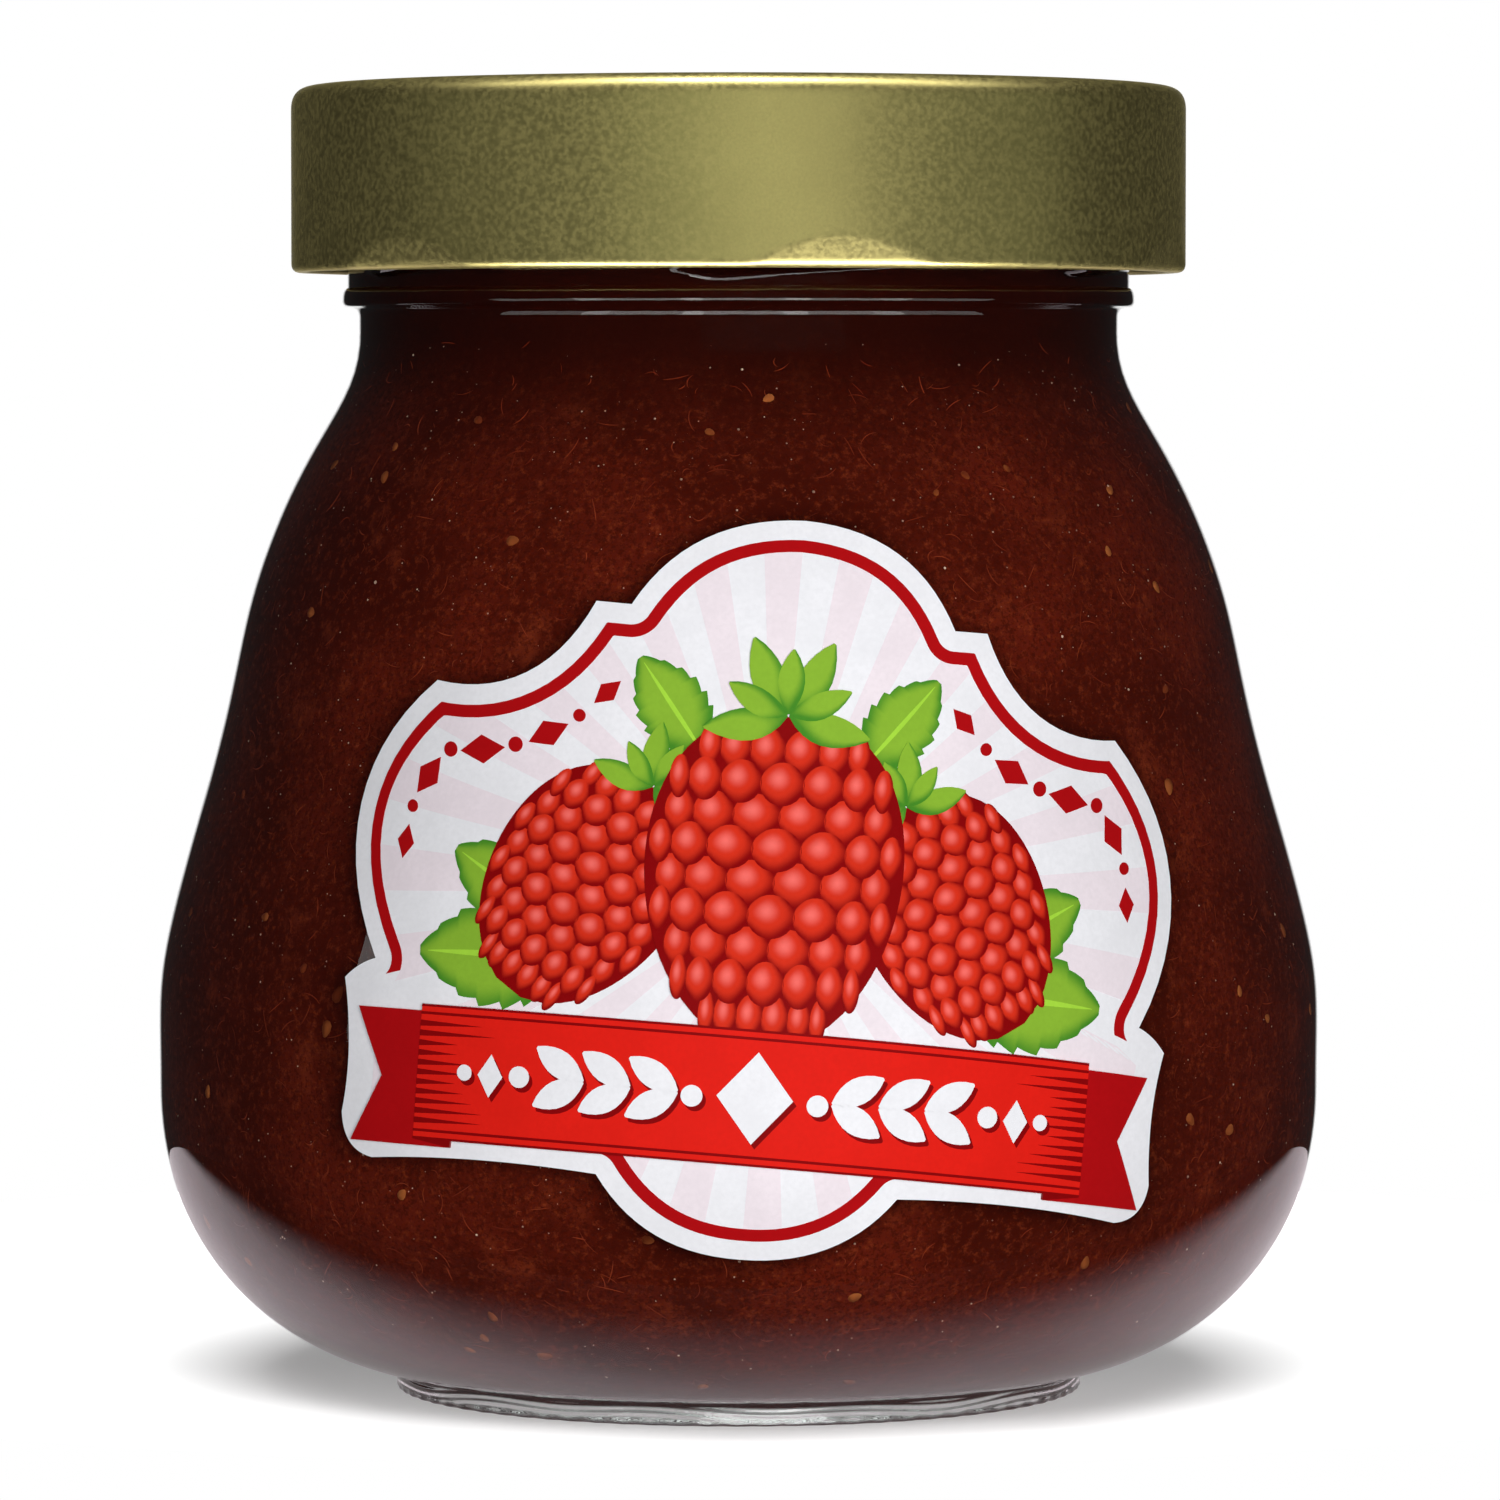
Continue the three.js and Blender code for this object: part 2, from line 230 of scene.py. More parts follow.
class LabelSettings(bpy.types.PropertyGroup):
    """Place and inks of the label."""

    across: length_property("Across", "Distance of its centre to the right of the front", 2.6 * MM)
    up_side: length_property("Up the side", "Distance of its centre up the curve of the side", 47.8 * MM)
    tilt: FloatProperty(
        name="Tilt", description="Turn to the right", default=math.radians(5), subtype="ANGLE"
    )
    paper: colour_property("Paper", "White of the coated paper", (0.86, 0.86, 0.895))
    ray: colour_property("Ray", "Pale pink of the rays", (0.86, 0.77, 0.82))
    keyline: colour_property("Keyline", "Red of the line inside the border", (0.42, 0.004, 0.006))
    ribbon: colour_property("Ribbon", "Red of the ribbon", (0.74, 0.014, 0.008))
    shade: colour_property("Shade", "Dark red of folds and hatching", (0.24, 0.002, 0.003))
    berry: colour_property("Berry", "Red of the drawn fruit", (0.66, 0.03, 0.011))
    leaf: colour_property("Leaf", "Light green of the drawn leaves", (0.25, 0.46, 0.035))
    leaf_shade: colour_property("Leaf shade", "Dark green of the drawn leaves", (0.06, 0.25, 0.02))


class StageSettings(bpy.types.PropertyGroup):
    """Camera, stand and light."""

    camera_distance: length_property("Camera distance", "From the jar's axis", 0.659)
    camera_height: length_property("Camera height", "Above the stand", 79.5 * MM)
    aim_height: length_property("Aim height", "Height that the camera looks at", 50.1 * MM)
    aim_across: length_property("Aim across", "How far right of the axis the camera looks", 0.9 * MM)
    lens: FloatProperty(name="Lens", description="Focal length in millimetres", default=201.6, min=1)
    stand_radius: length_property("Stand radius", "Radius of the round white stand", 0.11)
    stand_back: length_property("Stand back", "How far the stand's centre is behind the axis", 0.062)
    stand_glow: FloatProperty(name="Stand glow", description="Light of the stand itself", default=0.24, min=0)
    back_light: FloatProperty(name="Back light", description="Strength of the white behind", default=1, min=0)
    fill_light: FloatProperty(name="Fill light", description="Strength of the dim room", default=0.02, min=0)


def lean_direction(station):
    """Unit direction (radius, height) of the side at a station."""
    lean = math.radians(station.lean)
    return np.array([-math.sin(lean), math.cos(lean)])


def side_curve(steps=400):
    """Points (radius, height) of the glass's outer side.

    Between two stations a cubic curve has its two pull points along the stations' leans: a point is the four
    of them weighted by the binomial terms of a share that runs from 0 to 1.
    """
    share = np.linspace(0, 1, steps, endpoint=False)[:, None]
    stretches = []
    for low, high in zip(STATIONS, STATIONS[1:]):
        start = np.array([low.radius, low.height])
        end = np.array([high.radius, high.height])
        leave = start + low.above * lean_direction(low)
        arrive = end - high.below * lean_direction(high)
        rest = 1 - share
        inner = 3 * rest**2 * share * leave + 3 * rest * share**2 * arrive
        stretches.append(rest**3 * start + inner + share**3 * end)
    stretches.append(np.array([[NECK.radius, NECK.height]]))
    return np.concatenate(stretches)


SIDE = side_curve()
SIDE_STEPS = np.diff(SIDE, axis=0)
SIDE_DISTANCE = np.concatenate([[0], np.cumsum(np.hypot(SIDE_STEPS[:, 0], SIDE_STEPS[:, 1]))])
SIDE_LENGTH = SIDE_DISTANCE[-1]
SIDE_RUN = np.gradient(SIDE, SIDE_DISTANCE, axis=0)


def side_at(distance, offset=0.0):
    """Radius and height at a distance up the side's curve, moved out along its normal by offset."""
    run_radius = np.interp(distance, SIDE_DISTANCE, SIDE_RUN[:, 0])
    run_height = np.interp(distance, SIDE_DISTANCE, SIDE_RUN[:, 1])
    radius = np.interp(distance, SIDE_DISTANCE, SIDE[:, 0]) + offset * run_height
    height = np.interp(distance, SIDE_DISTANCE, SIDE[:, 1]) - offset * run_radius
    return radius, height


def round_the_jar(radius, angle, height):
    """Points at a radius, an angle from the front and a height."""
    return np.stack(np.broadcast_arrays(radius * np.sin(angle), -radius * np.cos(angle), height), axis=-1)


def hump(distance):
    """Smooth hump (1 - d^2)^2: 1 at the middle and 0 from a distance of 1 outwards."""
    return (1 - np.minimum(1, np.abs(distance)) ** 2) ** 2


def ease(share):
    """Smooth step 3s^2 - 2s^3 of a share held between 0 and 1."""
    held = np.clip(share, 0, 1)
    return held**2 * (3 - 2 * held)


def drawn(start, moves):
    """Outline (n, 2) from start through moves (steps, point) or (steps, pull, point).

    A move with a pull is the curve (1 - s)^2 a + 2 s (1 - s) pull + s^2 b, and one without it is straight.
    """
    stretches = [np.array([start], dtype=float)]
    for steps, *points in moves:
        begin = stretches[-1][-1]
        end = np.array(points[-1])
        pull = np.array(points[0]) if len(points) == 2 else (begin + end) / 2
        share = np.linspace(0, 1, steps + 1)[1:, None]
        stretches.append((1 - share) ** 2 * begin + 2 * share * (1 - share) * pull + share**2 * end)
    return np.concatenate(stretches)


def new_piece(name, vertices, quads, triangles, material, replaced=()):
    """Makes a mesh object from whole arrays, lets it ride on the jar and hides the parts that it stands for."""
    corners = np.concatenate([np.ravel(quads), np.ravel(triangles)]).astype(np.int32)
    sizes = np.repeat([4, 3], [len(quads), len(triangles)])
    mesh = bpy.data.meshes.new(name)
    mesh.vertices.add(len(vertices))
    mesh.vertices.foreach_set("co", np.ravel(vertices).astype(np.float32))
    mesh.loops.add(len(corners))
    mesh.loops.foreach_set("vertex_index", corners)
    mesh.polygons.add(len(sizes))
    mesh.polygons.foreach_set("loop_start", (np.cumsum(sizes) - sizes).astype(np.int32))
    mesh.update(calc_edges=True)
    if mesh.validate():
        raise RuntimeError(f"{name} has faulty faces")
    mesh.shade_smooth()
    mesh.set_sharp_from_angle(angle=math.radians(50))
    mesh.materials.append(material)
    piece = bpy.data.objects.new(name, mesh)
    bpy.context.scene.collection.objects.link(piece)
    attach(piece, BODY)
    if replaced:
        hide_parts(*replaced)
    return piece


def turned_faces(rows, columns):
    """Quads of a grid closed round its columns, and fans to a pole before the first and after the last."""
    row, column = np.meshgrid(np.arange(rows - 1), np.arange(columns), indexing="ij")
    after = (column + 1) % columns
    corners = [row * columns + column, row * columns + after]
    corners += [(row + 1) * columns + after, (row + 1) * columns + column]
    quads = np.stack(corners, axis=-1).reshape(-1, 4)
    along = np.arange(columns)
    onwards = (along + 1) % columns
    last = (rows - 1) * columns
    first_pole = np.full(columns, rows * columns)
    fan = np.stack([first_pole, onwards, along], axis=-1)
    end_fan = np.stack([last + along, last + onwards, first_pole + 1], axis=-1)
    return quads, np.concatenate([fan, end_fan])


def turned(profile, columns, swell=None):
    """Vertices and faces of a profile (radius, height) carried round the axis.

    The profile starts and ends on the axis. A point lies at (r sin a, -r cos a, z), where r is the profile's
    radius plus swell(radius, height, a).
    """
    angle = np.linspace(0, FULL_TURN, columns, endpoint=False)[None, :]
    radius = profile[1:-1, :1]
    height = profile[1:-1, 1:]
    grown = radius if swell is None else radius + swell(radius, height, angle)
    body = round_the_jar(grown, angle, height).reshape(-1, 3)
    poles = round_the_jar(0, 0, profile[[0, -1], 1])
    quads, fans = turned_faces(len(radius), columns)
    return np.concatenate([body, poles]), quads, fans


# Materials


def material_tree(name):
    """A new material with its node tree, its Principled shader and its Object coordinates."""
    material = bpy.data.materials.new(name)
    material.use_nodes = True
    tree = material.node_tree
    shader = tree.nodes["Principled BSDF"]
    place = tree.nodes.new("ShaderNodeTexCoord")
    return material, tree, shader, place.outputs["Object"]


def noise(tree, place, scale, detail=2.0, roughness=0.5):
    """Value of a noise whose patches are about 1 / scale metres across."""
    texture = tree.nodes.new("ShaderNodeTexNoise")
    texture.inputs["Scale"].default_value = scale
    texture.inputs["Detail"].default_value = detail
    texture.inputs["Roughness"].default_value = roughness
    tree.links.new(place, texture.inputs["Vector"])
    return texture.outputs[0]


def spread(tree, value, low, high, start=0.0, end=1.0):
    """Carries low to high onto start to end, held at both ends, with a smooth step."""
    node = tree.nodes.new("ShaderNodeMapRange")
    node.interpolation_type = "SMOOTHSTEP"
    for socket, setting in zip(("From Min", "From Max", "To Min", "To Max"), (low, high, start, end)):
        node.inputs[socket].default_value = setting
    tree.links.new(value, node.inputs["Value"])
    return node.outputs["Result"]


def mixed(tree, factor, first, second):
    """Mixes two colours, each a socket or a plain colour, by a factor that is a socket or a number."""
    node = tree.nodes.new("ShaderNodeMix")
    node.data_type = "RGBA"
    for index, source in ((0, factor), (6, first), (7, second)):
        if isinstance(source, bpy.types.NodeSocket):
            tree.links.new(source, node.inputs[index])
        elif index:
            node.inputs[index].default_value = (*source, 1)
        else:
            node.inputs[index].default_value = source
    return node.outputs[2]


def bumped(tree, shader, height, distance):
    """Raises the surface by a height from 0 to 1 times distance, in the shader's normal alone."""
    bump = tree.nodes.new("ShaderNodeBump")
    bump.inputs["Distance"].default_value = distance
    tree.links.new(height, bump.inputs["Height"])
    tree.links.new(bump.outputs["Normal"], shader.inputs["Normal"])


def fine_grain():
    """Node group that varies a colour with a fine and a broad noise, and gives the fine one as a height."""
    group = bpy.data.node_groups.get("fine_grain")
    if group:
        return group
    group = bpy.data.node_groups.new("fine_grain", "ShaderNodeTree")
    sockets = (
        ("Place", "INPUT", "NodeSocketVector"),
        ("Colour", "INPUT", "NodeSocketColor"),
        ("Fine Scale", "INPUT", "NodeSocketFloat"),
        ("Broad Scale", "INPUT", "NodeSocketFloat"),
        ("Darkest", "INPUT", "NodeSocketFloat"),
        ("Colour", "OUTPUT", "NodeSocketColor"),
        ("Height", "OUTPUT", "NodeSocketFloat"),
    )
    for name, side, kind in sockets:
        group.interface.new_socket(name=name, in_out=side, socket_type=kind)
    inner = group.nodes.new("NodeGroupInput")
    outer = group.nodes.new("NodeGroupOutput")
    fine = group.nodes.new("ShaderNodeTexNoise")
    broad = group.nodes.new("ShaderNodeTexNoise")
    fine.inputs["Detail"].default_value = 3
    broad.inputs["Detail"].default_value = 2
    for texture, scale in ((fine, "Fine Scale"), (broad, "Broad Scale")):
        group.links.new(inner.outputs["Place"], texture.inputs["Vector"])
        group.links.new(inner.outputs[scale], texture.inputs["Scale"])
    blend = group.nodes.new("ShaderNodeMath")
    blend.operation = "MULTIPLY"
    group.links.new(fine.outputs[0], blend.inputs[0])
    group.links.new(broad.outputs[0], blend.inputs[1])
    shade = group.nodes.new("ShaderNodeMapRange")
    shade.inputs["From Min"].default_value = 0.12
    shade.inputs["From Max"].default_value = 0.38
    group.links.new(blend.outputs[0], shade.inputs["Value"])
    group.links.new(inner.outputs["Darkest"], shade.inputs["To Min"])
    tinted = group.nodes.new("ShaderNodeVectorMath")
    tinted.operation = "SCALE"
    group.links.new(inner.outputs["Colour"], tinted.inputs[0])
    group.links.new(shade.outputs["Result"], tinted.inputs["Scale"])
    group.links.new(tinted.outputs["Vector"], outer.inputs["Colour"])
    group.links.new(fine.outputs[0], outer.inputs["Height"])
    return group


def add_grain(tree, place, colour, fine_scale, broad_scale, darkest):
    """Places the fine grain group in a material; colour is a socket or a plain colour."""
    grain = tree.nodes.new("ShaderNodeGroup")
    grain.node_tree = fine_grain()
    tree.links.new(place, grain.inputs["Place"])
    grain.inputs["Fine Scale"].default_value = fine_scale
    grain.inputs["Broad Scale"].default_value = broad_scale
    grain.inputs["Darkest"].default_value = darkest
    if isinstance(colour, bpy.types.NodeSocket):
        tree.links.new(colour, grain.inputs["Colour"])
    else:
        grain.inputs["Colour"].default_value = (*colour, 1)
    return grain


def clear_glass(settings):
    """Clear glass that lets lamps through, with the faint ripple of a moulded surface."""
    material, tree, shader, place = material_tree("clear_glass")
    shader.inputs["Base Color"].default_value = (*settings.tint, 1)
    shader.inputs["Roughness"].default_value = 0.015
    shader.inputs["IOR"].default_value = 1.5
    shader.inputs["Transmission Weight"].default_value = 1
    bumped(tree, shader, noise(tree, place, 160, 1), 0.02 * MM)
    lamp_path = tree.nodes.new("ShaderNodeLightPath")
    open_way = tree.nodes.new("ShaderNodeBsdfTransparent")
    either = tree.nodes.new("ShaderNodeMixShader")
    tree.links.new(lamp_path.outputs["Is Shadow Ray"], either.inputs[0])
    tree.links.new(shader.outputs[0], either.inputs[1])
    tree.links.new(open_way.outputs[0], either.inputs[2])
    tree.links.new(either.outputs[0], tree.nodes["Material Output"].inputs["Surface"])
    return material


def set_jam(settings):
    """Dark set jam: cloudy red-brown with soft patches of fruit flesh and fine pulp, and painted shade that
    darkens it towards the neck.
    """
    material, tree, shader, place = material_tree("set_jam")
    cloud = noise(tree, place, 70, 3)
    pulp = noise(tree, place, 1500, 5, 0.75)
    flesh = noise(tree, place, 230, 3)
    strands = noise(tree, place, 2300, 4, 0.8)
    base = mixed(tree, spread(tree, cloud, 0.3, 0.7), settings.deep, settings.bright)
    pulped = mixed(tree, spread(tree, pulp, 0.48, 0.72, 0, 0.6), base, settings.fruit)
    patched = mixed(tree, spread(tree, flesh, 0.58, 0.8, 0, 0.45), pulped, settings.fruit)
    stranded = mixed(tree, spread(tree, strands, 0.38, 0.56, 0.8, 0), patched, settings.deep)
    parts = tree.nodes.new("ShaderNodeSeparateXYZ")
    tree.links.new(place, parts.inputs[0])
    # Painted shade: the jam's colour darkens with height towards the neck, where the lid shades it
    painted_neck_shade = spread(tree, parts.outputs["Z"], NECK_SHADE_FOOT, NECK_SHADE_TOP, 0, 0.93)
    final = mixed(tree, painted_neck_shade, stranded, settings.shade)
    tree.links.new(final, shader.inputs["Base Color"])
    shader.inputs["Roughness"].default_value = 0.6
    shader.inputs["Specular IOR Level"].default_value = 0
    return material


def sunk_bits(name, colour, jam_colour):
    """Bits sunk in the jam: their own colour, clouded in patches by the jam over them."""
    material, tree, shader, place = material_tree(name)
    veil = spread(tree, noise(tree, place, 300, 2), 0.35, 0.65, 0.1, 0.85)
    tree.links.new(mixed(tree, veil, colour, jam_colour), shader.inputs["Base Color"])
    shader.inputs["Roughness"].default_value = 0.5
    shader.inputs["Specular IOR Level"].default_value = 0
    return material


def gold_lacquer(settings):
    """Satin gold lacquer on tinplate: a fine grain in its colour, roughness and surface."""
    material, tree, shader, place = material_tree("gold_lacquer")
    grain = add_grain(tree, place, settings.lacquer, 4600, 140, 0.88)
    tree.links.new(grain.outputs["Colour"], shader.inputs["Base Color"])
    shader.inputs["Metallic"].default_value = 1
    low = settings.roughness - 0.05
    high = settings.roughness + 0.05
    tree.links.new(spread(tree, noise(tree, place, 2400, 2), 0.3, 0.7, low, high), shader.inputs["Roughness"])
    bumped(tree, shader, grain.outputs["Height"], 0.006 * MM)
    return material


def printed_ink(name, colour):
    """Ink on coated paper: the ink's colour with the paper's grain showing through."""
    material, tree, shader, place = material_tree(name)
    grain = add_grain(tree, place, colour, 2600, 300, 0.93)
    tree.links.new(grain.outputs["Colour"], shader.inputs["Base Color"])
    shader.inputs["Roughness"].default_value = 0.5
    shader.inputs["Specular IOR Level"].default_value = 0.3
    bumped(tree, shader, grain.outputs["Height"], 0.01 * MM)
    return material


def shaded_ink(name, light, middle, dark, centre, reach):
    """Ink that goes from light through middle to dark with distance from centre in the shape's own UV map."""
    material, tree, shader, place = material_tree(name)
    own = tree.nodes.new("ShaderNodeUVMap")
    apart = tree.nodes.new("ShaderNodeVectorMath")
    apart.operation = "DISTANCE"
    tree.links.new(own.outputs[0], apart.inputs[0])
    apart.inputs[1].default_value = (*centre, 0)
    near = mixed(tree, spread(tree, apart.outputs["Value"], 0, reach / 2), light, middle)
    whole = mixed(tree, spread(tree, apart.outputs["Value"], reach / 2, reach), near, dark)
    grain = add_grain(tree, place, whole, 2600, 300, 0.93)
    tree.links.new(grain.outputs["Colour"], shader.inputs["Base Color"])
    shader.inputs["Roughness"].default_value = 0.5
    shader.inputs["Specular IOR Level"].default_value = 0.3
    bumped(tree, shader, grain.outputs["Height"], 0.01 * MM)
    return material


# Glass


def glass_profile(wall):
    """The jar's section from the middle of its underside up the outside and down the inside to its floor."""
    bead_foot = BEAD_HEIGHT - BEAD_ROUND
    foot_wall = RING_OUTER + RING_EDGE
    foot = drawn((0, HOLLOW_CROWN), (
        (6, (HOLLOW_RADIUS / 2, HOLLOW_CROWN), (HOLLOW_RADIUS, HOLLOW_HEIGHT)),
        (4, (RING_INNER, HOLLOW_HEIGHT), (RING_INNER, HOLLOW_HEIGHT / 2)),
        (3, (RING_INNER, 0)),
        (4, (RING_OUTER, 0)),
        (4, (foot_wall, 0), (foot_wall, RING_EDGE / 2)),
        (14, (foot_wall, FOOT_TOP)),
        (5, (foot_wall, HEEL.height), (HEEL.radius, HEEL.height)),
    ))
    even = np.linspace(0, SIDE_LENGTH, 86)[1:]
    seam_distance = np.interp(SEAM_HEIGHT, SIDE[:, 1], SIDE_DISTANCE)
    seam = seam_distance + 1.2 * SEAM_HALF_HEIGHT * np.linspace(-1, 1, 9)
    side = np.stack(side_at(np.sort(np.concatenate([even, seam]))), axis=-1)
    finish = drawn((NECK.radius, NECK.height + NECK_RISE), (
        (6, (NECK.radius, bead_foot), (BEAD_RADIUS - BEAD_ROUND, bead_foot)),
        (5, (BEAD_RADIUS, bead_foot), (BEAD_RADIUS, BEAD_HEIGHT)),
        (5, (BEAD_RADIUS, WAIST_HEIGHT), (BAND_RADIUS, WAIST_HEIGHT)),
        (3, (BAND_RADIUS, BAND_START)),
        (54, (BAND_RADIUS, BAND_SHOWN)),
        (8, (BAND_RADIUS, RIM_TOP - RIM_EDGE)),
        (5, (BAND_RADIUS, RIM_TOP), (BAND_RADIUS - RIM_EDGE, RIM_TOP)),
        (2, (MOUTH_RADIUS + RIM_EDGE, RIM_TOP)),
        (5, (MOUTH_RADIUS, RIM_TOP), (MOUTH_RADIUS, RIM_TOP - RIM_EDGE)),
        (6, (MOUTH_RADIUS, BAND_START)),
    ))
    inside = np.stack(side_at(np.linspace(SIDE_LENGTH, 0, 56), -wall), axis=-1)
    floor = drawn(inside[-1], ((6, (0, INNER_FLOOR)),))[1:]
    return np.concatenate([foot, side, finish, inside, floor])


def thread_ridges(settings, height, angle):
    """How far the threads stand out: rounded ridges along rising lines, tapered at both ends."""
    ridge = np.zeros(np.broadcast_shapes(height.shape, angle.shape))
    for i in range(THREAD_COUNT):
        travel = (angle - FIRST_THREAD - i * FULL_TURN / THREAD_COUNT) % FULL_TURN
        taper = ease(travel / THREAD_TIP) * ease((THREAD_SWEEP - travel) / THREAD_TIP)
        middle = THREAD_START + THREAD_LEAD * travel / FULL_TURN
        across = (height - middle) / (settings.thread_half_width * (0.35 + 0.65 * taper))
        ridge = np.maximum(ridge, settings.thread_depth * taper * hump(across))
    return ridge


def glass_swell(settings):
    """Returns the relief of the outside: threads, the mould's parting line, notches and ripples of the foot."""

    def swell(radius, height, angle):
        outside = radius > (MOUTH_RADIUS + BAND_RADIUS) / 2
        threads = np.where(outside & (height > WAIST_HEIGHT), thread_ridges(settings, height, angle), 0)
        seam = np.where(outside, settings.seam * hump((height - SEAM_HEIGHT) / SEAM_HALF_HEIGHT), 0)
        on_foot = (radius > RING_OUTER) & (height < HEEL.height)
        teeth = 0.5 - 0.5 * np.cos(settings.knurl_count * angle)
        notch = settings.knurl_depth * hump(height / RING_EDGE) * teeth
        drift = 0.6 * np.sin(3 * angle) + 0.3 * np.sin(11 * angle + 1)
        wave = np.sin(FULL_TURN * (height / RIPPLE_PITCH + drift))
        ripple = settings.ripple_depth * wave * hump((height - RIPPLE_MIDDLE) / RIPPLE_MIDDLE)
        return threads + seam - np.where(on_foot, notch + ripple, 0)

    return swell


def build_glass(settings):
    """Turns the glass and adds its relief."""
    vertices, quads, fans = turned(glass_profile(settings.wall), 300, glass_swell(settings))
    new_piece("jar_glass", vertices, quads, fans, clear_glass(settings), ["glass_jar"])


# Jam


def jam_profile(reach, wall):
    """The jam's section: floor, side just inside the glass wall, and a top with a low rim at the glass."""
    offset = reach - wall
    side = np.stack(side_at(np.linspace(0, SIDE_LENGTH, 90), offset), axis=-1)
    floor = drawn((0, side[0, 1]), ((5, side[0]),))[:-1]
    radius = MOUTH_RADIUS + reach
    level = JAM_HIGH.z - JAM_DIP
    top = drawn(side[-1], (
        (4, (radius, BAND_START)),
        (5, (radius, JAM_HIGH.z)),
        (5, (radius - JAM_RISE_WIDTH / 3, level), (radius - JAM_RISE_WIDTH, level)),
        (4, (0, level)),
    ))[1:]
    return np.concatenate([floor, side, top])


def build_jam(glass, settings):
    """Turns the jam so that it reaches just into the glass."""
    profile = jam_profile(settings.reach, glass.wall)
    vertices, quads, fans = turned(profile, 180)
    new_piece("jam_fill", vertices, quads, fans, set_jam(settings), ["jam"])


def ball(rings, columns):
    """A unit ball as vertices and faces: a half circle carried round its axis."""
    slope = np.linspace(0, math.pi, rings + 2)[1:-1, None]
    angle = np.linspace(0, FULL_TURN, columns, endpoint=False)[None, :]
    body = round_the_jar(np.sin(slope), angle, -np.cos(slope)).reshape(-1, 3)
    quads, fans = turned_faces(rings, columns)
    return np.concatenate([body, [[0, 0, -1], [0, 0, 1]]]), quads, fans


def shred(stations, sides):
    """A thin unit strand: a small ring carried along x from -1 to 1, bent by 1 - x^2, thinned to its ends."""
    along = np.linspace(-0.98, 0.98, stations)[:, None]
    angle = np.linspace(0, FULL_TURN, sides, endpoint=False)[None, :]
    thin = np.sqrt(1 - along**2)
    parts = np.broadcast_arrays(along, 1 - along**2, thin * np.cos(angle), thin * np.sin(angle))
    body = np.stack(parts, axis=-1).reshape(-1, 4)
    quads, fans = turned_faces(stations, sides)
    return np.concatenate([body, [[-1, 0, 0, 0], [1, 0, 0, 0]]]), quads, fans


def wall_spots(count, draw, offset):
    """Random spots on the jam's side as points with three unit directions: round, up the side, outwards."""
    distance = draw.uniform(0.02, 0.99, count) * SIDE_LENGTH
    angle = draw.uniform(0, FULL_TURN, count)
    radius, height = side_at(distance, offset)
    run_radius = np.interp(distance, SIDE_DISTANCE, SIDE_RUN[:, 0])
    run_height = np.interp(distance, SIDE_DISTANCE, SIDE_RUN[:, 1])
    spot = round_the_jar(radius, angle, height)
    tangent = round_the_jar(1, angle + math.pi / 2, 0 * angle)
    upwards = round_the_jar(run_radius, angle, run_height)
    outwards = round_the_jar(run_height, angle, -run_radius)
    return spot, tangent, upwards, outwards


def placed(local, spots, turn):
    """Lays local points (count, n, 3) at spots, turned in the plane of the side at each spot."""
    spot, tangent, upwards, outwards = spots
    cosine = np.cos(turn)[:, None]
    sine = np.sin(turn)[:, None]
    first = cosine * tangent + sine * upwards
    second = cosine * upwards - sine * tangent
    axes = np.stack([first, second, outwards], axis=1)
    return spot[:, None, :] + np.einsum("cnk,ckx->cnx", local, axes)


def repeated_faces(faces, count, size):
    """Faces of one shape repeated for count copies of size vertices."""
    return (faces[None, :, :] + (np.arange(count) * size)[:, None, None]).reshape(-1, faces.shape[1])


def scatter(name, shape, local, spots, turn, material):
    """Makes one piece of many copies that lie at spots of the jam's side."""
    vertices = placed(local, spots, turn)
    count, size = vertices.shape[:2]
    quads = repeated_faces(shape[1], count, size)
    fans = repeated_faces(shape[2], count, size)
    new_piece(name, vertices.reshape(-1, 3), quads, fans, material)


def build_seeds(glass, settings):
    """Seeds sunk in the jam at the glass: flat drops, some deeper than others."""
    draw = np.random.default_rng(11)
    shape = ball(5, 10)
    count = settings.seeds
    size = draw.uniform(0.8, 1.15, (count, 1, 1)) * np.array([0.66, 0.44, 0.3]) * MM
    taper = 1 - 0.35 * shape[0][:, :1]
    local = size * shape[0] * np.concatenate([np.ones_like(taper), taper, taper], axis=1)
    local[:, :, 2] -= draw.uniform(0.02, 0.22, (count, 1)) * MM
    spots = wall_spots(count, draw, settings.reach - glass.wall)
    look = sunk_bits("jam_seed", settings.seed_colour, settings.bright)
    scatter("jam_seeds", shape, local, spots, draw.uniform(0, FULL_TURN, count), look)


def build_shreds(glass, settings):
    """Fine fibres of fruit at the glass."""
    draw = np.random.default_rng(23)
    body, quads, fans = shred(7, 5)
    count = settings.shreds
    length = draw.uniform(0.25, 1.1, (count, 1)) * MM
    bend = draw.uniform(-0.35, 0.35, (count, 1)) * MM
    thick = draw.uniform(0.02, 0.05, (count, 1)) * MM
    across = bend * body[None, :, 1] + thick * body[None, :, 2]
    local = np.stack([length * body[None, :, 0], across, thick * body[None, :, 3]], axis=-1)
    spots = wall_spots(count, draw, settings.reach - glass.wall)
    look = sunk_bits("jam_fibre", settings.fruit, settings.bright)
    scatter("jam_shreds", (body, quads, fans), local, spots, draw.uniform(0, FULL_TURN, count), look)


def build_specks(glass, settings):
    """Small bubbles and pale specks at the glass."""
    draw = np.random.default_rng(37)
    shape = ball(3, 6)
    count = settings.specks
    size = draw.gamma(4, 0.0105, (count, 1, 1)) * MM
    local = size * shape[0][None, :, :]
    spots = wall_spots(count, draw, settings.reach - glass.wall)
    look = sunk_bits("jam_speck", settings.speck_colour, settings.bright)
    scatter("jam_specks", shape, local, spots, draw.uniform(0, FULL_TURN, count), look)


# Lid


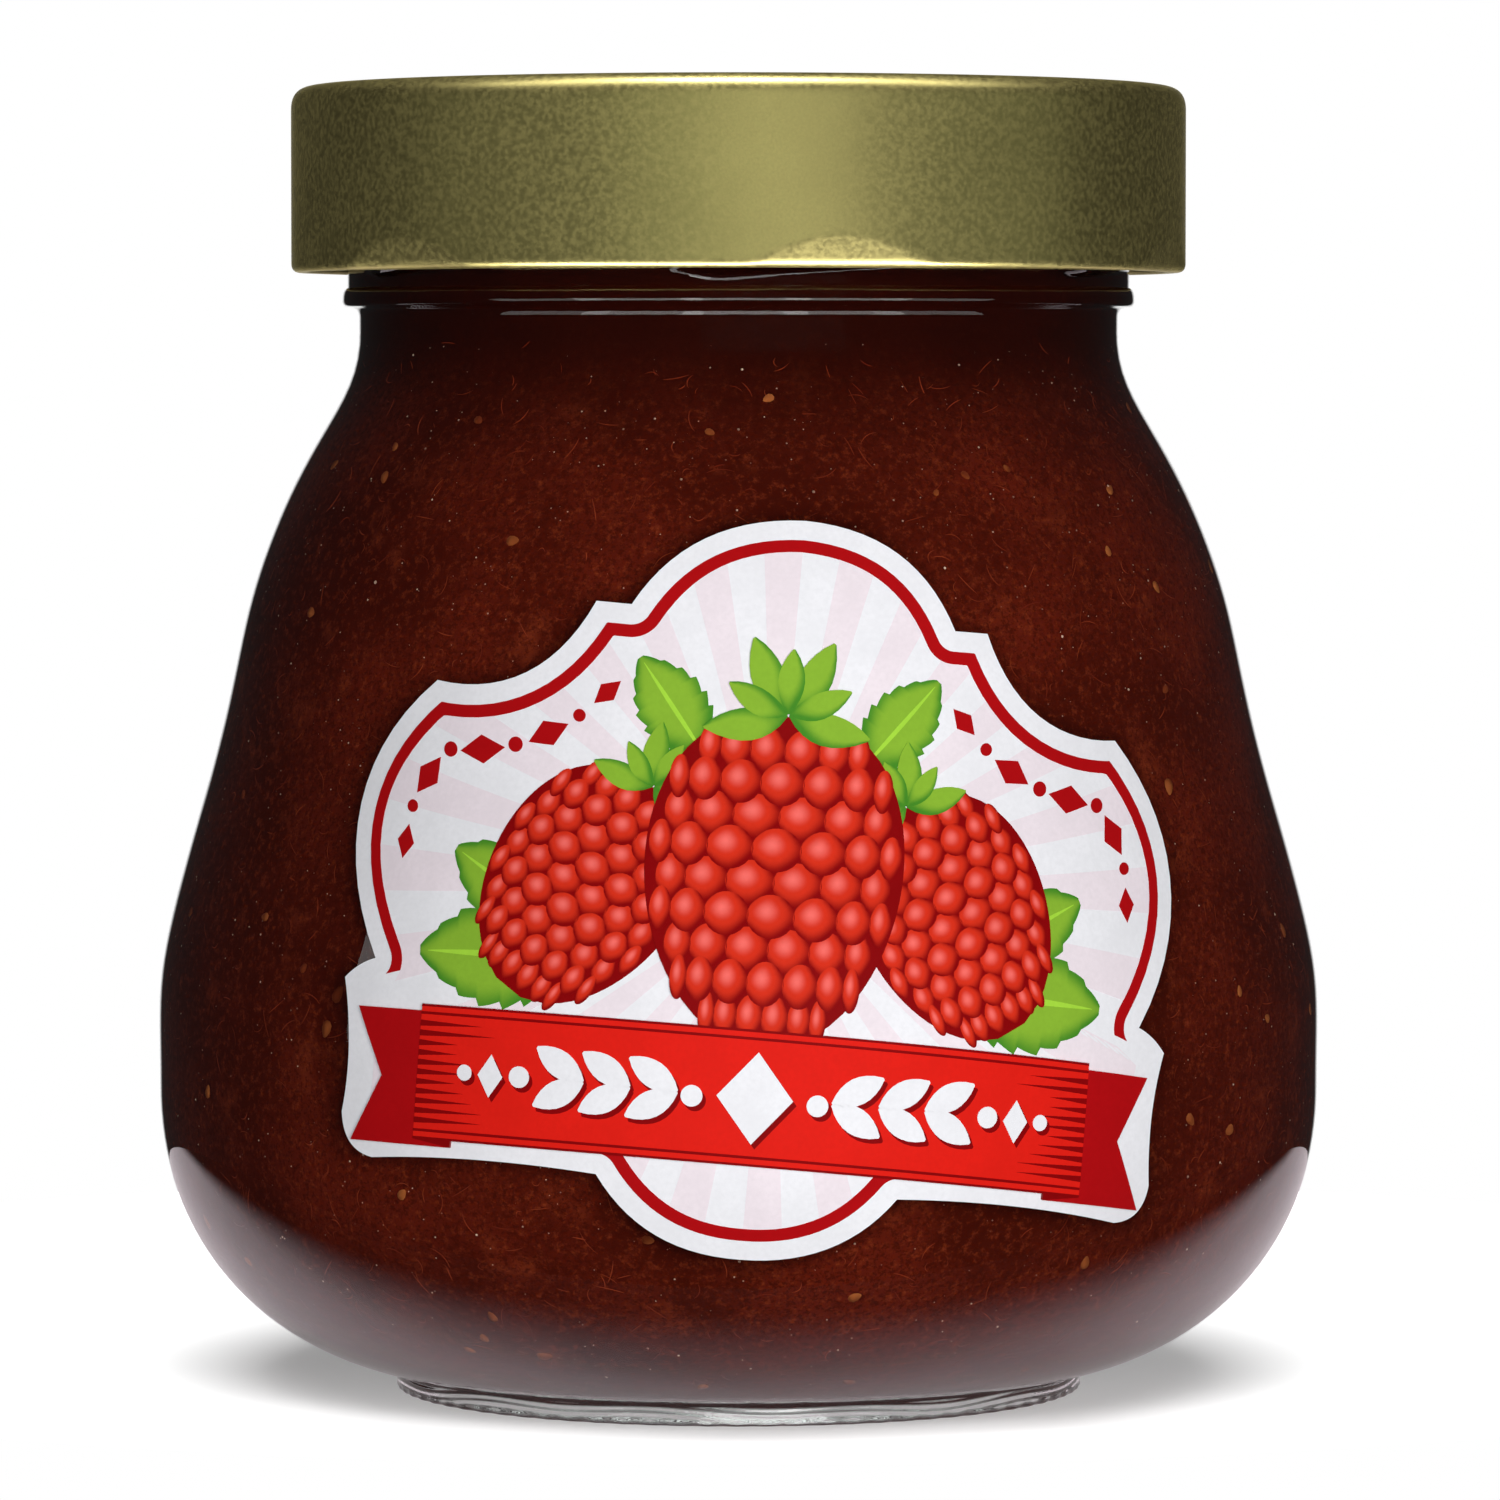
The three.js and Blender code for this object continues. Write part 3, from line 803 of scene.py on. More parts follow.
def lid_profile():
    """The lid's section from the middle of its underside down the skirt, round the curl and up to its top."""
    top = LID_HIGH.z
    bottom = LID_LOW.z
    panel = top - PANEL_DROP
    under = panel - LID_SHEET
    seat = RIM_TOP + LID_SEAT
    skirt = LID_RADIUS - LID_SHEET
    curl = CURL_DEPTH / 2
    curl_inner = LID_RADIUS - CURL_DEPTH
    return drawn((0, under - BUTTON_DROP), (
        (4, (BUTTON_RADIUS, under)),
        (3, (PANEL_RADIUS, under)),
        (2, (PANEL_RADIUS + LID_SHEET, seat)),
        (3, (BAND_RADIUS, seat)),
        (3, (LID_RADIUS - LID_CORNER, top - LID_SHEET)),
        (4, (skirt, top - LID_SHEET), (skirt, top - LID_CORNER)),
        (5, (skirt, bottom + LUG_HEIGHT)),
        (6, (curl_inner, bottom + LUG_HEIGHT / 2), (curl_inner, bottom + curl)),
        (6, (curl_inner, bottom), (LID_RADIUS - curl, bottom)),
        (6, (LID_RADIUS, bottom), (LID_RADIUS, bottom + curl)),
        (16, (LID_RADIUS, bottom + LUG_HEIGHT)),
        (10, (LID_RADIUS, top - LID_CORNER)),
        (12, (LID_RADIUS, top), (LID_RADIUS - LID_CORNER, top)),
        (5, (PANEL_RADIUS + 2 * PANEL_DROP, top)),
        (4, (PANEL_RADIUS + PANEL_DROP, top), (PANEL_RADIUS + PANEL_DROP / 2, top - PANEL_DROP / 2)),
        (4, (PANEL_RADIUS, panel), (PANEL_RADIUS - PANEL_DROP, panel)),
        (4, (BUTTON_RADIUS + BUTTON_SLOPE, panel)),
        (4, (BUTTON_RADIUS, panel), (BUTTON_RADIUS - BUTTON_SLOPE, panel - BUTTON_DROP / 2)),
        (6, (BUTTON_RADIUS / 2, panel - BUTTON_DROP), (0, panel - BUTTON_DROP)),
    ))


def lug_press(depth):
    """Returns how far the lower edge is pressed in: a flat slope under an arch that rises at each lug.

    The arch is 1 - (a / half)^2 of the lug's height; the slope starts at it with a slight rounding.
    """

    def swell(radius, height, angle):
        pitch = FULL_TURN / LUG_COUNT
        turn = angle - FIRST_LUG
        from_lug = turn - pitch * np.round(turn / pitch)
        under = 1 - (from_lug / LUG_HALF_ANGLE) ** 2 - (height - LID_LOW.z) / LUG_HEIGHT
        return -depth * (under + np.sqrt(under**2 + LUG_ROUNDING)) / 2

    return swell


def build_lid(settings):
    """Turns the lid and presses its lugs in."""
    vertices, quads, fans = turned(lid_profile(), 360, lug_press(settings.lug_depth))
    new_piece("lid_cap", vertices, quads, fans, gold_lacquer(settings), ["lid"])


# Label


def label_half(steps=14):
    """Right half of the label's outline: each pull point lies twice the bow off the middle of its chord."""
    moves = []
    for start, end in zip(HALF_OUTLINE, HALF_OUTLINE[1:]):
        run = np.array([end.across - start.across, end.height - start.height])
        outwards = np.array([-run[1], run[0]]) / np.hypot(*run)
        pull = np.array([start.across, start.height]) + run / 2 + 2 * end.bow * outwards
        moves.append((steps, pull, (end.across, end.height)))
    return drawn(HALF_OUTLINE[0][:2], moves)


def label_loop():
    """The label's whole outline, counter-clockwise from its top."""
    right = label_half()
    left = right * np.array([-1, 1])
    return np.concatenate([left[:-1], right[:0:-1]])


LABEL_LOOP = label_loop()


def distance_to_outline(points):
    """Distance from points (n, 2) to the label's outline: the least over its segments."""
    start = LABEL_LOOP[None, :, :]
    run = np.roll(LABEL_LOOP, -1, axis=0)[None, :, :] - start
    reach = points[:, None, :] - start
    share = np.clip(np.sum(reach * run, axis=-1) / np.sum(run * run, axis=-1), 0, 1)
    gap = reach - share[:, :, None] * run
    return np.sqrt(np.min(np.sum(gap * gap, axis=-1), axis=-1))


def outline_radius(angle):
    """Distance from the label's centre to its outline at an angle from +x."""
    own = np.unwrap(np.arctan2(LABEL_LOOP[:, 1], LABEL_LOOP[:, 0]))
    reach = np.hypot(LABEL_LOOP[:, 0], LABEL_LOOP[:, 1])
    wrapped = (angle - own[0]) % FULL_TURN + own[0]
    return np.interp(wrapped, np.append(own, own[0] + FULL_TURN), np.append(reach, reach[0]))


def inset_radius(angle, inset):
    """Distance from the label's centre to the line that runs inset inside its outline, found by halving."""
    direction = np.stack([np.cos(angle), np.sin(angle)], axis=-1)
    near = np.zeros_like(angle)
    far = outline_radius(angle)
    for _ in range(26):
        middle = (near + far) / 2
        deep = distance_to_outline(middle[:, None] * direction) > inset
        near = np.where(deep, middle, near)
        far = np.where(deep, far, middle)
    return near


def on_label(plane, offset):
    """Lays points of the label's plane on the jar: height runs up the curve of the side, width round it."""
    settings = bpy.context.scene.jam_jar_label
    cosine = math.cos(settings.tilt)
    sine = math.sin(settings.tilt)
    across = settings.across + cosine * plane[..., 0] + sine * plane[..., 1]
    up = settings.up_side - sine * plane[..., 0] + cosine * plane[..., 1]
    surface_radius = side_at(up)[0]
    radius, height = side_at(up, offset)
    return round_the_jar(radius, across / surface_radius, height)


def edges_of(faces):
    """Directed edges of faces with the same number of corners."""
    return np.stack([faces, np.roll(faces, -1, axis=1)], axis=-1).reshape(-1, 2)


def sheet(name, plane, quads, triangles, foot, face, material, replaced=(), own=None):
    """A thin closed sheet on the jar: its front at face, its back at foot, and a wall along each free edge.

    A free edge is one whose reverse belongs to no face. own gives each point a place in a UV map.
    """
    size = len(plane)
    edges = np.concatenate([edges_of(quads), edges_of(triangles)]).astype(np.int64)
    forward = edges[:, 0] * size + edges[:, 1]
    backward = edges[:, 1] * size + edges[:, 0]
    free = edges[~np.isin(forward, backward)]
    wall = np.stack([free[:, 1], free[:, 0], free[:, 0] + size, free[:, 1] + size], axis=-1)
    vertices = np.concatenate([on_label(plane, face), on_label(plane, foot)])
    all_quads = np.concatenate([quads, quads[:, ::-1] + size, wall])
    all_triangles = np.concatenate([triangles, triangles[:, ::-1] + size])
    piece = new_piece(name, vertices, all_quads, all_triangles, material, replaced)
    if own is not None:
        corners = np.concatenate([np.ravel(all_quads), np.ravel(all_triangles)])
        layer = piece.data.uv_layers.new(name="own")
        layer.data.foreach_set("uv", np.ravel(np.concatenate([own, own])[corners]).astype(np.float32))
    return piece


NO_TRIANGLES = np.zeros((0, 3), dtype=int)


def grid_faces(rows, columns):
    """Quads of an open grid whose columns run to the right and whose rows run up."""
    row, column = np.meshgrid(np.arange(rows - 1), np.arange(columns - 1), indexing="ij")
    start = row * columns + column
    return np.stack([start, start + 1, start + columns + 1, start + columns], axis=-1).reshape(-1, 4)


def print_grids(name, grids, layer, material, own=None):
    """Makes one sheet of several grids of one shape, (count, rows, columns, 2), in a layer of ink."""
    count, rows, columns = grids.shape[:3]
    quads = repeated_faces(grid_faces(rows, columns), count, rows * columns)
    face = PAPER_FACE + layer * INK_STEP
    foot = PAPER_FACE - INK_STEP
    return sheet(name, grids.reshape(-1, 2), quads, NO_TRIANGLES, foot, face, material, own=own)


def turned_plane(plane, turn):
    """Points of a plane turned counter-clockwise."""
    cosine = np.cos(turn)
    sine = np.sin(turn)
    across = cosine * plane[..., 0] - sine * plane[..., 1]
    return np.stack([across, sine * plane[..., 0] + cosine * plane[..., 1]], axis=-1)


def mirrored(grids):
    """Grids followed by their mirror images, whose columns are reversed to keep facing out."""
    return np.concatenate([grids, grids[:, :, ::-1] * np.array([-1, 1])])


def lens(length, half_width, bend, rows=9, columns=5, teeth=0, bite=0.0):
    """A leaf shape from the origin up +y: half width w sin(pi s)^0.8, bent sideways by bend s^2, toothed."""
    along = np.linspace(0.015, 0.985, rows)[:, None]
    side = np.linspace(-1, 1, columns)[None, :]
    tooth = 1 - bite * np.abs(side) * (1 - (teeth * along) % 1)
    across = half_width * np.sin(math.pi * along) ** 0.8 * side * tooth + bend * along**2
    return np.stack(np.broadcast_arrays(across, length * along), axis=-1)


def unit_disc(steps):
    """A disc of radius 1: a square grid with x drawn to x sqrt(1 - y^2 / 2) and y likewise."""
    x, y = np.meshgrid(np.linspace(-1, 1, steps), np.linspace(-1, 1, steps))
    return np.stack([x * np.sqrt(1 - y**2 / 2), y * np.sqrt(1 - x**2 / 2)], axis=-1)


def unit_lozenge(steps):
    """A lozenge that reaches 1 to each side: a square grid (a, b) drawn to (a - b, a + b - 1)."""
    a, b = np.meshgrid(np.linspace(0, 1, steps), np.linspace(0, 1, steps))
    return np.stack([a - b, a + b - 1], axis=-1)


def stamped(shape, places, halves, turns=0.0):
    """Copies of a unit shape about places, each drawn to its half width and half height and turned."""
    scaled = np.asarray(halves)[:, None, None, :] * shape
    return np.asarray(places)[:, None, None, :] + turned_plane(scaled, np.asarray(turns).reshape(-1, 1, 1))


def grid_own(count, rows, columns):
    """UV places of the points of count grids: across from 0 to 1, and from 0 to 1 over the rows."""
    u, v = np.meshgrid(np.linspace(0, 1, columns), np.linspace(0, 1, rows))
    return np.tile(np.stack([u, v], axis=-1).reshape(-1, 2), (count, 1))


def build_paper(settings):
    """The die-cut sheet: its outline drawn in to the centre in rings."""
    count = len(LABEL_LOOP)
    rings = 30
    share = np.linspace(1, 0, rings, endpoint=False)[::-1, None, None]
    body = (share * LABEL_LOOP[None, :, :]).reshape(-1, 2)
    row, column = np.meshgrid(np.arange(rings - 1), np.arange(count), indexing="ij")
    after = (column + 1) % count
    corners = [row * count + column, (row + 1) * count + column]
    corners += [(row + 1) * count + after, row * count + after]
    quads = np.stack(corners, axis=-1).reshape(-1, 4)
    along = np.arange(count)
    fan = np.stack([np.full(count, rings * count), along, (along + 1) % count], axis=-1)
    plane = np.concatenate([body, [[0, 0]]])
    look = printed_ink("coated_paper", settings.paper)
    sheet("label_sheet", plane, quads, fan, PAPER_FOOT, PAPER_FACE, look, ["label"])


def build_border(settings):
    """Pale rays from the centre, and the red line inside the white border above and below the ribbon."""
    rays = 28
    field = BORDER + KEYLINE_WIDTH
    spokes = []
    for i in range(rays):
        start = i * FULL_TURN / rays
        angle = np.linspace(start, start + FULL_TURN / rays / 2, 7)
        edge = inset_radius(angle, field)
        share = np.linspace(0.12, 1, 27)[:, None]
        spoke = (share * edge)[..., None] * np.stack([np.cos(angle), np.sin(angle)], axis=-1)
        spokes.append(spoke[::-1])
    print_grids("label_rays", np.array(spokes), RAY_LAYER, printed_ink("ray_ink", settings.ray))
    look = printed_ink("keyline_ink", settings.keyline)
    for name, low, high, steps in (("upper", -18, 198, 640), ("lower", 240, 300, 180)):
        angle = np.radians(np.linspace(high, low, steps))
        radii = np.stack([inset_radius(angle, field), inset_radius(angle, BORDER)])
        line = radii[..., None] * np.stack([np.cos(angle), np.sin(angle)], axis=-1)
        print_grids(f"label_keyline_{name}", line[None], LINE_LAYER, look)


def ribbon_point(across, share):
    """A point of the ribbon: share runs from -1 at its lower edge to 1 at its upper edge."""
    middle = RIBBON_MIDDLE - RIBBON_FALL * (across / RIBBON_HALF_WIDTH) ** 2
    return np.stack(np.broadcast_arrays(across, middle + RIBBON_HALF_HEIGHT * share), axis=-1)


def ribbon_strip(start, end, low, high, columns, rows):
    """Grid of the part of the ribbon between two widths and two shares of its height."""
    across = np.linspace(start, end, columns)[None, :]
    share = np.linspace(low, high, rows)[:, None]
    return ribbon_point(across, share)


def ribbon_tail():
    """Right tail behind the ribbon, with a notch in its end that is deepest at half height."""
    share = np.linspace(-1, 1, 11)[:, None]
    along = np.linspace(0, 1, 10)[None, :]
    start = RIBBON_HALF_WIDTH - TAIL_TUCK
    end = TAIL_END - TAIL_NOTCH * (1 - np.abs(share))
    return ribbon_point(start + (end - start) * along, share) - np.array([0, TAIL_DROP])


def ribbon_hatching(draw):
    """Tapering strokes that run in from both ends of the ribbon."""
    strokes = []
    for share in np.linspace(-0.72, 0.72, 11):
        length = draw.uniform(3.2, 6.4) * MM
        along = np.linspace(0, 0.97, 7)[None, :]
        thick = 0.045 * (1 - along) * np.array([[-1], [1]])
        strokes.append(ribbon_point(RIBBON_HALF_WIDTH - length * along, share + thick)[:, ::-1])
    return mirrored(np.array(strokes))


def ribbon_ornaments():
    """A row of ornaments along the ribbon: sprigs of leaves, dots and lozenges, mirrored about the middle."""
    leaves = []
    for start in (5.6, 9.1, 12.6):
        for turn in (-60, -120):
            leaf = turned_plane(lens(4.4 * MM, 1.0 * MM, 0), math.radians(turn))
            leaves.append(leaf + np.array([start * MM, RIBBON_MIDDLE]))
    middle = np.array([0, RIBBON_MIDDLE - 0.2 * MM])
    pearl_places = np.array([[4.6, 0], [17.6, 0], [22, -0.2]]) * MM + middle
    pearl_halves = np.array([[0.8, 0.8], [0.8, 0.8], [0.6, 0.6]]) * MM
    gem_places = np.array([[0, 0.2], [19.9, -0.2], [-19.9, -0.2]]) * MM + middle
    gem_halves = np.array([[2.8, 3.4], [1, 1.6], [1, 1.6]]) * MM
    return {
        "leaves": mirrored(np.array(leaves)),
        "pearls": mirrored(stamped(unit_disc(7), pearl_places, pearl_halves)),
        "gems": stamped(unit_lozenge(5), gem_places, gem_halves),
    }


def build_ribbon(settings):
    """The ribbon with its tails, folds, edge lines, hatching and ornaments."""
    red = printed_ink("ribbon_ink", settings.ribbon)
    dark = printed_ink("ribbon_shade_ink", settings.shade)
    white = printed_ink("ornament_ink", settings.paper)
    tail_look = printed_ink("tail_ink", settings.keyline)
    print_grids("label_ribbon_tails", mirrored(ribbon_tail()[None]), RIBBON_LAYER, tail_look)
    inner = RIBBON_HALF_WIDTH - TAIL_TUCK
    fold = ribbon_strip(inner, RIBBON_HALF_WIDTH, -1.0, -0.9, 5, 3)
    fold[0, :, 1] -= TAIL_DROP * np.linspace(1, 0.05, 5)
    print_grids("label_ribbon_folds", mirrored(fold[None]), RIBBON_LAYER + 1, dark)
    panel = ribbon_strip(-RIBBON_HALF_WIDTH, RIBBON_HALF_WIDTH, -1, 1, 53, 12)
    print_grids("label_ribbon_panel", panel[None], RIBBON_LAYER + 2, red)
    strips = ((-0.89, -0.85), (0.85, 0.89), (-1, -0.965), (0.965, 1))
    lines = [ribbon_strip(-RIBBON_HALF_WIDTH, RIBBON_HALF_WIDTH, low, high, 53, 2) for low, high in strips]
    print_grids("label_ribbon_lines", np.array(lines), RIBBON_LAYER + 3, dark)
    strokes = ribbon_hatching(np.random.default_rng(5))
    print_grids("label_ribbon_hatching", strokes, RIBBON_LAYER + 3, dark)
    shadow = np.array([0.28 * MM, -0.32 * MM])
    for name, grids in ribbon_ornaments().items():
        print_grids(f"label_ribbon_{name}_shadow", grids + shadow, RIBBON_LAYER + 4, dark)
        print_grids(f"label_ribbon_{name}", grids, RIBBON_LAYER + 5, white)


def build_side_chains(settings):
    """A chain of lozenges and dots up each side of the field, larger in the middle of the chain."""
    links = 9
    angle = np.radians(np.linspace(1, 45, 200))
    reach = inset_radius(angle, 4.9 * MM)
    path = reach[:, None] * np.stack([np.cos(angle), np.sin(angle)], axis=-1)
    steps = np.diff(path, axis=0)
    along = np.concatenate([[0], np.cumsum(np.hypot(steps[:, 0], steps[:, 1]))])
    stops = np.linspace(0, along[-1], links)
    places = np.stack([np.interp(stops, along, path[:, 0]), np.interp(stops, along, path[:, 1])], axis=-1)
    run = np.gradient(places, axis=0)
    turn = np.arctan2(run[:, 1], run[:, 0]) - math.pi / 2
    swell = 0.7 + 0.3 * np.sin(np.linspace(0, math.pi, links))[:, None]
    gem_halves = swell * np.array([1.1, 1.9]) * MM
    pearl_halves = swell * np.array([0.6, 0.6]) * MM
    look = printed_ink("chain_ink", settings.keyline)
    gems = stamped(unit_lozenge(5), places[::2], gem_halves[::2], turn[::2])
    pearls = stamped(unit_disc(7), places[1::2], pearl_halves[1::2])
    print_grids("label_chain_gems", mirrored(gems), LINE_LAYER, look)
    print_grids("label_chain_pearls", mirrored(pearls), LINE_LAYER, look)


Berry = namedtuple("Berry", "across height tilt length half_width layer")
BERRIES = (
    Berry(-9.4 * MM, 6.8 * MM, math.radians(-31), 19 * MM, 7.4 * MM, SIDE_BERRY_LAYER),
    Berry(9.4 * MM, 6.8 * MM, math.radians(31), 19 * MM, 7.4 * MM, SIDE_BERRY_LAYER),
    Berry(0, 13 * MM, 0, 25 * MM, 9.6 * MM, BERRY_LAYER),
)
BERRY_BLUNT = 0.4
BERRY_POINT = 0.5
BERRY_ROWS = 9
BERRY_TURN = math.radians(21)


def berry_half_width(berry, along):
    """Half width w s^a (1 - s)^b of a drawn berry at a share s of its length, with w as the widest."""
    widest = BERRY_BLUNT / (BERRY_BLUNT + BERRY_POINT)
    most = widest**BERRY_BLUNT * (1 - widest) ** BERRY_POINT
    return berry.half_width * along**BERRY_BLUNT * (1 - along) ** BERRY_POINT / most


def berry_point(berry, across, along):
    """A point of a drawn berry turned about its top: across from -1 to 1, along from 0 at its top to 1."""
    half = berry_half_width(berry, along)
    plane = np.stack(np.broadcast_arrays(half * across, -berry.length * along), axis=-1)
    return turned_plane(plane, berry.tilt) + np.array([berry.across, berry.height])


def berry_beads(berry, parity):
    """Every second row of a berry's beads: ovals at even turns round the berry, narrowed to its edges."""
    grids = []
    pitch = 0.9 / BERRY_ROWS
    for row in range(parity, BERRY_ROWS, 2):
        along = 0.06 + pitch * (row + 0.5)
        turn = BERRY_TURN * (np.arange(-4, 4) + 0.5 * (1 + parity))
        turn = turn[np.abs(turn) < math.radians(70)]
        places = berry_point(berry, np.sin(turn), np.full_like(turn, along))
        wide = berry_half_width(berry, along) * np.cos(turn) * math.sin(BERRY_TURN / 2) * 1.06
        high = np.full_like(turn, 0.66 * pitch * berry.length)
        halves = np.stack([np.minimum(wide, 1.5 * high), high], axis=-1)
        grids.append(stamped(unit_disc(7), places, halves, np.full(len(turn), berry.tilt)))
    return np.concatenate(grids)


def crown_leaves(berry):
    """Leaves of a berry's crown, fanned out about its top."""
    leaves = []
    for i, turn in enumerate(np.linspace(-112, 112, 7)):
        reach = (6.6 - 1.4 * (i % 2)) * berry.half_width / 10
        leaf = lens(reach, 0.2 * reach, 0.16 * reach * np.sign(turn))
        place = np.array([berry.across, berry.height])
        leaves.append(turned_plane(leaf, berry.tilt + math.radians(turn)) + place)
    return np.array(leaves)


def build_leaves(settings):
    """Sprays of toothed leaves behind the fruit, with a pale rib in each."""
    leaves = []
    ribs = []
    for base, turn, length in (((14, -5), -62, 12), ((13, -6.5), -94, 14), ((5.5, 9), -38, 9.5)):
        place = np.array(base) * MM
        angle = math.radians(turn)
        leaf = lens(length * MM, 0.3 * length * MM, 0, rows=57, columns=9, teeth=8, bite=0.16)
        rib = lens(0.95 * length * MM, 0.018 * length * MM, 0, rows=20, columns=3)
        leaves.append(turned_plane(leaf, angle) + place)
        ribs.append(turned_plane(rib, angle) + place)
    look = shaded_ink("leaf_ink", settings.leaf, settings.leaf, settings.leaf_shade, (0.5, 0.6), 0.55)
    grids = mirrored(np.array(leaves))
    print_grids("label_leaves", grids, LEAF_LAYER, look, grid_own(len(grids), 57, 9))
    rib_look = printed_ink("rib_ink", tuple(min(1, 1.5 * part) for part in settings.leaf))
    print_grids("label_leaf_ribs", mirrored(np.array(ribs)), LEAF_LAYER + 1, rib_look)


def build_berries(settings):
    """The drawn fruit: dark bodies, rounded beads in two layers, and crowns."""
    light = tuple(min(1, 1.2 * part + 0.12) for part in settings.berry)
    bead_look = shaded_ink("bead_ink", light, settings.berry, settings.shade, (0.4, 0.62), 0.66)
    body_look = printed_ink("berry_ink", settings.shade)
    crown_look = shaded_ink("crown_ink", settings.leaf, settings.leaf, settings.leaf_shade, (0.35, 0.7), 0.7)
    for i, berry in enumerate(BERRIES):
        across = np.linspace(-1, 1, 21)[None, :]
        along = np.linspace(0.992, 0.006, 27)[:, None]
        print_grids(f"label_berry_{i}", berry_point(berry, across, along)[None], berry.layer, body_look)
        for parity in (0, 1):
            beads = berry_beads(berry, parity)
            own = grid_own(len(beads), 7, 7)
            print_grids(f"label_berry_{i}_beads_{parity}", beads, berry.layer + 1 + parity, bead_look, own)
        crown = crown_leaves(berry)
        for parity in (0, 1):
            leaves = crown[parity::2]
            own = grid_own(len(leaves), 9, 5)
            print_grids(f"label_berry_{i}_crown_{parity}", leaves, berry.layer + 3 + parity, crown_look, own)


# Stage


def away_from(tree, place, depth, squeeze):
    """Distance of the shaded place from a point at a depth behind the axis, with depths squeezed."""
    gap = tree.nodes.new("ShaderNodeVectorMath")
    gap.operation = "MULTIPLY_ADD"
    tree.links.new(place, gap.inputs[0])
    gap.inputs[1].default_value = (1, squeeze, 1)
    gap.inputs[2].default_value = (0, -squeeze * depth, 0)
    length = tree.nodes.new("ShaderNodeVectorMath")
    length.operation = "LENGTH"
    tree.links.new(gap.outputs["Vector"], length.inputs[0])
    return length.outputs["Value"]


# The camera sees the stand's lit shade with its glow up to STAND_SHADE from the axis, and a painted white glow
# beyond STAND_WHITE.
# In reflections the stand shows a painted mauve-grey colour and its glow, which fade to black between
# FADE_START and FADE_END, measured from a point that lies FADE_DEPTH behind the axis, with depths squeezed by
# FADE_SQUEEZE.
STAND_SHADE = 36 * MM
STAND_WHITE = 84 * MM
FADE_DEPTH = 130 * MM
FADE_SQUEEZE = 0.66
FADE_START = 105 * MM
FADE_END = 115 * MM
PAINTED_REFLECTION_COLOUR = (0.66, 0.55, 0.6)
STAND_COLOUR = (0.9, 0.9, 0.9)


def build_stand(settings):
    """A round white stand that glows with light of its own: rings of a disc, with the jar near its front edge.
    """
    angle = np.linspace(0, FULL_TURN, 128, endpoint=False)
    rings = np.linspace(0, 1, 12)[1:, None]
    body = round_the_jar(settings.stand_radius * rings, angle[None, :], 0 * rings).reshape(-1, 3)
    vertices = np.concatenate([body, [[0, 0, 0]]]) + np.array([0, settings.stand_back, 0])
    quads, fans = turned_faces(len(rings), len(angle))
    mesh = bpy.data.meshes.new("stand")
    mesh.from_pydata(vertices, [], [*quads[:, ::-1].tolist(), *fans[: len(angle), ::-1].tolist()])
    material, tree, shader, place = material_tree("stand_white")
    seen = tree.nodes.new("ShaderNodeLightPath").outputs["Is Camera Ray"]
    inward = spread(tree, away_from(tree, place, FADE_DEPTH, FADE_SQUEEZE), FADE_START, FADE_END, 1, 0)
    outward = spread(tree, away_from(tree, place, 0, 1), STAND_SHADE, STAND_WHITE)
    # Painted reflection: to all rays but the camera's the stand is a mauve-grey colour that fades to black away
    # from the jar
    painted_reflection = mixed(tree, inward, (0, 0, 0), PAINTED_REFLECTION_COLOUR)
    grain = add_grain(tree, place, mixed(tree, seen, painted_reflection, STAND_COLOUR), 900, 60, 0.97)
    tree.links.new(grain.outputs["Colour"], shader.inputs["Base Color"])
    shader.inputs["Roughness"].default_value = 0.7
    glow = settings.stand_glow
    # Painted glow: the stand gives light of its own, and to the camera it glows plain white away from the jar
    shown = mixed(tree, outward, (glow, glow, glow), (1, 1, 1))
    unseen = mixed(tree, inward, (0, 0, 0), (glow, glow, glow))
    tree.links.new(mixed(tree, seen, unseen, shown), shader.inputs["Emission Color"])
    shader.inputs["Emission Strength"].default_value = 1
    mesh.materials.append(material)
    stand = bpy.data.objects.new("stand", mesh)
    bpy.context.scene.collection.objects.link(stand)


def build_camera(settings):
    """The camera at the photograph's place, with its lens and no shift."""
    data = bpy.data.cameras.new("view")
    data.lens = settings.lens
    camera = bpy.data.objects.new("view", data)
    camera.location = (settings.aim_across, -settings.camera_distance, settings.camera_height)
    aim = Vector((settings.aim_across, 0, settings.aim_height))
    camera.rotation_mode = "QUATERNION"
    camera.rotation_quaternion = (aim - camera.location).to_track_quat("-Z", "Y")
    bpy.context.scene.collection.objects.link(camera)
    bpy.context.scene.camera = camera


